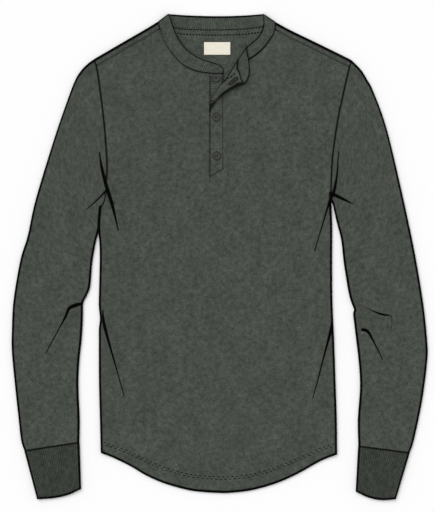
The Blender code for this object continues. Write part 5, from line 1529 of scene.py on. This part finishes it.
def depth_shade(tree, fold_low, has_creases):
    """Painted shade: darkens the cloth's colour where it turns away at a fold, goes into a seam or
    lies in a trough.
    """
    fold = map_range(tree, mark(tree, "fold"), *FOLD_RANGE, fold_low, 1.0)
    seam = map_range(tree, mark(tree, "seam"), *SEAM_RANGE, SEAM_SHADE, 1.0)
    shade = calculate(tree, "MULTIPLY", fold, seam)
    if not has_creases:
        return shade
    gap = calculate(tree, "ABSOLUTE", mark(tree, "crease_gap"))
    level = calculate(tree, "SUBTRACT", mark(tree, "crease_half"), gap)
    trough = map_range(tree, level, *TROUGH_RANGE, 1.0, CREASE_SHADE)
    return calculate(tree, "MULTIPLY", shade, trough)


def coloured(tree, shader, colour, *factors):
    """Sets the shader's colour to a colour times the factors."""
    for factor in factors:
        scaled = add_node(tree, "VectorMath", {0: colour, 1: combine(tree, factor)},
                          operation="MULTIPLY")
        colour = scaled.outputs[0]
    tree.links.new(colour, shader.inputs["Base Color"])


def combine(tree, value):
    return add_node(tree, "CombineXYZ", {"X": value, "Y": value, "Z": value}).outputs[0]


def bump(tree, shader, height, distance, strength):
    made = add_node(tree, "Bump", {"Height": height, "Distance": distance, "Strength": strength})
    tree.links.new(made.outputs[0], shader.inputs["Normal"])


def stitch_relief(tree, place, wale, course):
    """Height of jersey's upright chains of small V stitches."""
    parts = add_node(tree, "SeparateXYZ", {0: place})
    column = calculate(tree, "PINGPONG", parts.outputs[0], wale / 2)
    across = calculate(tree, "DIVIDE", column, wale / 2)
    lean = calculate(tree, "MULTIPLY", across, course * 0.8)
    along = calculate(tree, "ADD", parts.outputs[1], lean)
    loop = calculate(tree, "DIVIDE", calculate(tree, "PINGPONG", along, course / 2), course / 2)
    chain = map_range(tree, across, 0.0, 0.5, 0.0, 1.0)
    return calculate(tree, "MULTIPLY", chain, map_range(tree, loop, 0.0, 1.0, 0.5, 1.0))


def knit_finish(shirt):
    """Heather jersey, with painted shade at its folds, seams and creases."""
    name = "heather_jersey"
    if name in bpy.data.materials:
        return bpy.data.materials[name]
    finish, tree, shader = start_finish(name, 0.92, 0.03)
    place = add_node(tree, "TexCoord").outputs["UV"]
    coloured(tree, shader, melange(tree, place, shirt.knit_colour), heather(tree, place),
             depth_shade(tree, FOLD_SHADE, True))
    bump(tree, shader, stitch_relief(tree, place, 0.0012, 0.0009), 0.0003, 0.5)
    return finish


def rib_finish(shirt, name, groove_reach):
    """Ribbing with painted shade in its grooves, lighter where they open as the neckband's end is
    turned out, and at its folds and seams.
    """
    if name in bpy.data.materials:
        return bpy.data.materials[name]
    finish, tree, shader = start_finish(name, 0.92, 0.03)
    place = add_node(tree, "TexCoord").outputs["UV"]
    across = add_node(tree, "SeparateXYZ", {0: place}).outputs[0]
    half = shirt.rib_pitch / 2
    part = calculate(tree, "DIVIDE", calculate(tree, "PINGPONG", across, half), half)
    start, stop, shade, light = groove_reach
    shaded = map_range(tree, mark(tree, "opened"), 0.0, 1.0, shade, OPEN_GROOVE)
    groove = map_range(tree, part, start, stop, shaded, light)
    coloured(tree, shader, melange(tree, place, shirt.rib_colour), heather(tree, place), groove,
             depth_shade(tree, FOLD_SHADE, False))
    bump(tree, shader, stitch_relief(tree, place, shirt.rib_pitch / 2, 0.001), 0.0003, 0.5)
    return finish


def plain_finish(name, colour, roughness, variation=0.2, sheen=0.0, scale=900.0, distance=0.0001):
    """A finish with fine grain on the object's own coordinates, made once."""
    if name in bpy.data.materials:
        return bpy.data.materials[name]
    finish, tree, shader = start_finish(name, roughness, sheen)
    place = add_node(tree, "TexCoord").outputs["Object"]
    grain = fibre_noise(tree, place, (scale, scale))
    coloured(tree, shader, (*colour,),
             map_range(tree, grain, 0.35, 0.65, 1.0 - variation, 1.0 + variation, smooth=False))
    bump(tree, shader, grain, distance, 0.4)
    return finish


def thread_finish(shirt):
    return plain_finish("sewing_thread", shirt.thread_colour, 0.7, sheen=0.1)


def seam_finish(shirt):
    return plain_finish("tonal_thread", [part * 0.55 for part in shirt.knit_colour], 0.8, sheen=0.1)


def label_thread_finish(shirt):
    return plain_finish("label_thread", [min(1.0, part * 1.12) for part in shirt.label_colour], 0.6)


def button_finish(shirt):
    """Matt resin, faintly clouded, with painted shade round the rim."""
    name = "button_resin"
    if name in bpy.data.materials:
        return bpy.data.materials[name]
    finish, tree, shader = start_finish(name, 0.6, 0.0, 0.2)
    place = add_node(tree, "TexCoord").outputs["Object"]
    cloud = fibre_noise(tree, place, (260.0, 260.0))
    # Painted shade: the colour darkens toward the rim.
    rim = map_range(tree, mark(tree, "radius"), BUTTON_RADIUS - 1.9, BUTTON_RADIUS - 0.7, 1.0, 0.5)
    coloured(tree, shader, (*shirt.button_colour,), rim,
             map_range(tree, cloud, 0.3, 0.7, 0.8, 1.2))
    bump(tree, shader, cloud, 0.00002, 0.3)
    return finish


def label_finish(shirt):
    """Woven satin: fine threads both ways."""
    name = "woven_label"
    if name in bpy.data.materials:
        return bpy.data.materials[name]
    finish, tree, shader = start_finish(name, 0.55, 0.05)
    place = add_node(tree, "TexCoord").outputs["UV"]
    parts = add_node(tree, "SeparateXYZ", {0: place})
    weave = 0.0005
    warp = calculate(tree, "PINGPONG", parts.outputs[0], weave / 2)
    weft = calculate(tree, "PINGPONG", parts.outputs[1], weave / 2)
    threads = calculate(tree, "DIVIDE", calculate(tree, "ADD", warp, weft), weave)
    cloud = fibre_noise(tree, place, (90.0, 200.0))
    coloured(tree, shader, (*shirt.label_colour,), map_range(tree, threads, 0.0, 1.0, 0.94, 1.04),
             map_range(tree, cloud, 0.3, 0.7, 0.97, 1.03))
    bump(tree, shader, threads, 0.0001, 0.5)
    return finish


# ---------------------------------------------------------------- stage

def make_stage(shirt):
    mesh = bmesh.new()
    bmesh.ops.create_grid(mesh, x_segments=1, y_segments=1, size=FLOOR_SIZE / 2)
    data = bpy.data.meshes.new("floor")
    mesh.to_mesh(data)
    mesh.free()
    finish = bpy.data.materials.new("pale_floor")
    finish.use_nodes = True
    shader = finish.node_tree.nodes["Principled BSDF"]
    shader.inputs["Base Color"].default_value = (*FLOOR_COLOUR, 1.0)
    shader.inputs["Roughness"].default_value = 0.9
    shader.inputs["Specular IOR Level"].default_value = 0.0
    data.materials.append(finish)
    floor = bpy.data.objects.new("floor", data)
    bpy.context.scene.collection.objects.link(floor)
    scene = bpy.context.scene
    scene.view_settings.view_transform = "Standard"
    scene.view_settings.look = "None"
    world = bpy.data.worlds.new("studio")
    world.use_nodes = True
    background = world.node_tree.nodes["Background"]
    background.inputs["Color"].default_value = (1.0, 1.0, 1.0, 1.0)
    background.inputs["Strength"].default_value = shirt.fill_light
    scene.world = world
    light = bpy.data.lights.new("softbox", "SUN")
    light.angle = SOFTBOX_ANGLE
    light.energy = shirt.key_light
    softbox = bpy.data.objects.new("softbox", light)
    softbox.location = SOFTBOX_PLACE
    softbox.rotation_euler = (-Vector(SOFTBOX_PLACE)).to_track_quat("-Z", "Y").to_euler()
    scene.collection.objects.link(softbox)
    lens = bpy.data.cameras.new("camera")
    lens.lens = CAMERA_LENS
    lens.sensor_width = CAMERA_SENSOR
    lens.clip_end = 50.0
    camera = bpy.data.objects.new("camera", lens)
    camera.location = (*VIEW_CENTRE, VIEW_LENGTH * CAMERA_LENS / CAMERA_SENSOR)
    scene.collection.objects.link(camera)
    scene.camera = camera


# ---------------------------------------------------------------- properties and operators

class HenleyShirt(bpy.types.PropertyGroup):
    """Sizes, colours and light of the shirt."""
    cloth: FloatProperty(name="Knit", description="Thickness of the body knit", default=0.0013,
                         min=0.0008, max=0.002, precision=4, unit="LENGTH")
    rib_pitch: FloatProperty(name="Rib pitch", description="Width of one rib and its groove",
                             default=0.0033, min=0.002, max=0.006, precision=4, unit="LENGTH")
    rib_height: FloatProperty(name="Rib height", description="How far a rib stands up",
                              default=0.0006, min=0.0, max=0.001, precision=4, unit="LENGTH")
    stitch_length: FloatProperty(name="Stitch", description="Length of a stitch that shows",
                                 default=0.005, min=0.002, max=0.01, precision=4, unit="LENGTH")
    stitch_gap: FloatProperty(name="Stitch gap", description="Space between two stitches",
                              default=0.0024, min=0.0005, max=0.006, precision=4, unit="LENGTH")
    thread: FloatProperty(name="Thread", description="Thickness of the sewing thread",
                          default=0.0018, min=0.0003, max=0.003, precision=4, unit="LENGTH")
    knit_colour: FloatVectorProperty(name="Knit", description="Colour of the body knit", size=3,
                                     default=(0.0630, 0.0720, 0.0603), subtype="COLOR",
                                     min=0.0, max=1.0)
    rib_colour: FloatVectorProperty(name="Rib", description="Colour of the ribbing", size=3,
                                    default=(0.0683, 0.0787, 0.0655), subtype="COLOR",
                                    min=0.0, max=1.0)
    thread_colour: FloatVectorProperty(name="Thread", description="Colour of the thread", size=3,
                                       default=(0.005, 0.006, 0.005), subtype="COLOR",
                                       min=0.0, max=1.0)
    button_colour: FloatVectorProperty(name="Button", description="Colour of the buttons",
                                       size=3, default=(0.0420, 0.0470, 0.0400), subtype="COLOR",
                                       min=0.0, max=1.0)
    label_colour: FloatVectorProperty(name="Label", description="Colour of the neck label",
                                      size=3, default=(0.80, 0.76, 0.64), subtype="COLOR",
                                      min=0.0, max=1.0)
    key_light: FloatProperty(name="Softbox", description="Strength of the softbox", default=1.4,
                             min=0.0)
    fill_light: FloatProperty(name="Fill", description="Strength of the light from all round",
                              default=0.72, min=0.0)


class HENLEY_OT_back(bpy.types.Operator):
    """Make the back of the shirt, folded over both shoulders"""
    bl_idname = "henley.back"
    bl_label = "Back"

    def execute(self, context):
        make_back(context.scene.henley_shirt)
        return {"FINISHED"}


class HENLEY_OT_front(bpy.types.Operator):
    """Make the front of the shirt, slit for the placket"""
    bl_idname = "henley.front"
    bl_label = "Front"

    def execute(self, context):
        make_front(context.scene.henley_shirt)
        return {"FINISHED"}


class HENLEY_OT_sleeves(bpy.types.Operator):
    """Make both sleeves"""
    bl_idname = "henley.sleeves"
    bl_label = "Sleeves"

    def execute(self, context):
        shirt = context.scene.henley_shirt
        make_sleeve(shirt, "right_sleeve", 0, RIGHT_INNER, RIGHT_OUTER)
        make_sleeve(shirt, "left_sleeve", 1, LEFT_INNER, LEFT_OUTER)
        return {"FINISHED"}


class HENLEY_OT_cuffs(bpy.types.Operator):
    """Make both ribbed cuffs"""
    bl_idname = "henley.cuffs"
    bl_label = "Cuffs"

    def execute(self, context):
        shirt = context.scene.henley_shirt
        make_cuff(shirt, "right_cuff", RIGHT_INNER[0], RIGHT_OUTER[0], RIGHT_CUFF_END)
        make_cuff(shirt, "left_cuff", LEFT_INNER[0], LEFT_OUTER[0], LEFT_CUFF_END)
        return {"FINISHED"}


class HENLEY_OT_neckband(bpy.types.Operator):
    """Make the ribbed neckband, with its left end turned out"""
    bl_idname = "henley.neckband"
    bl_label = "Neckband"

    def execute(self, context):
        make_neckband(context.scene.henley_shirt)
        return {"FINISHED"}


class HENLEY_OT_placket(bpy.types.Operator):
    """Make the placket's underlap and overlap"""
    bl_idname = "henley.placket"
    bl_label = "Placket"

    def execute(self, context):
        shirt = context.scene.henley_shirt
        make_placket_under(shirt)
        make_placket_over(shirt)
        return {"FINISHED"}


class HENLEY_OT_stitches(bpy.types.Operator):
    """Sew the hem, neck, shoulders and placket"""
    bl_idname = "henley.stitches"
    bl_label = "Stitches"

    def execute(self, context):
        shirt = context.scene.henley_shirt
        make_hem_stitches(shirt)
        make_neck_stitches(shirt)
        make_shoulder_stitches(shirt)
        make_placket_stitches(shirt)
        make_buttonholes(shirt)
        return {"FINISHED"}


class HENLEY_OT_buttons(bpy.types.Operator):
    """Make the three buttons with their thread"""
    bl_idname = "henley.buttons"
    bl_label = "Buttons"

    def execute(self, context):
        for number, (x, y, base) in enumerate(BUTTONS, 1):
            make_button(context.scene.henley_shirt, number, x, y, base)
        return {"FINISHED"}


class HENLEY_OT_label(bpy.types.Operator):
    """Make the blank neck label"""
    bl_idname = "henley.label"
    bl_label = "Label"

    def execute(self, context):
        make_label(context.scene.henley_shirt)
        return {"FINISHED"}


class HENLEY_OT_stage(bpy.types.Operator):
    """Make the floor, the light and the camera"""
    bl_idname = "henley.stage"
    bl_label = "Stage"

    def execute(self, context):
        make_stage(context.scene.henley_shirt)
        return {"FINISHED"}


OPERATORS = (HENLEY_OT_stage, HENLEY_OT_back, HENLEY_OT_placket, HENLEY_OT_front,
             HENLEY_OT_sleeves, HENLEY_OT_cuffs, HENLEY_OT_neckband, HENLEY_OT_stitches,
             HENLEY_OT_buttons, HENLEY_OT_label)


class HENLEY_PT_sidebar(bpy.types.Panel):
    """Lists the pieces of the shirt"""
    bl_label = "Henley Shirt"
    bl_space_type = "VIEW_3D"
    bl_region_type = "UI"
    bl_category = "Henley"

    def draw(self, context):
        shirt = context.scene.henley_shirt
        for name in HenleyShirt.__annotations__:
            self.layout.prop(shirt, name)
        for operator in OPERATORS:
            self.layout.operator(operator.bl_idname)


CLASSES = (HenleyShirt, *OPERATORS, HENLEY_PT_sidebar)


def register():
    for item in CLASSES:
        bpy.utils.register_class(item)
    bpy.types.Scene.henley_shirt = PointerProperty(type=HenleyShirt)


def unregister():
    del bpy.types.Scene.henley_shirt
    for item in reversed(CLASSES):
        bpy.utils.unregister_class(item)


def main():
    register()
    for operator in OPERATORS:
        getattr(bpy.ops.henley, operator.bl_idname.split(".")[1])()


if __name__ == "__main__":
    main()
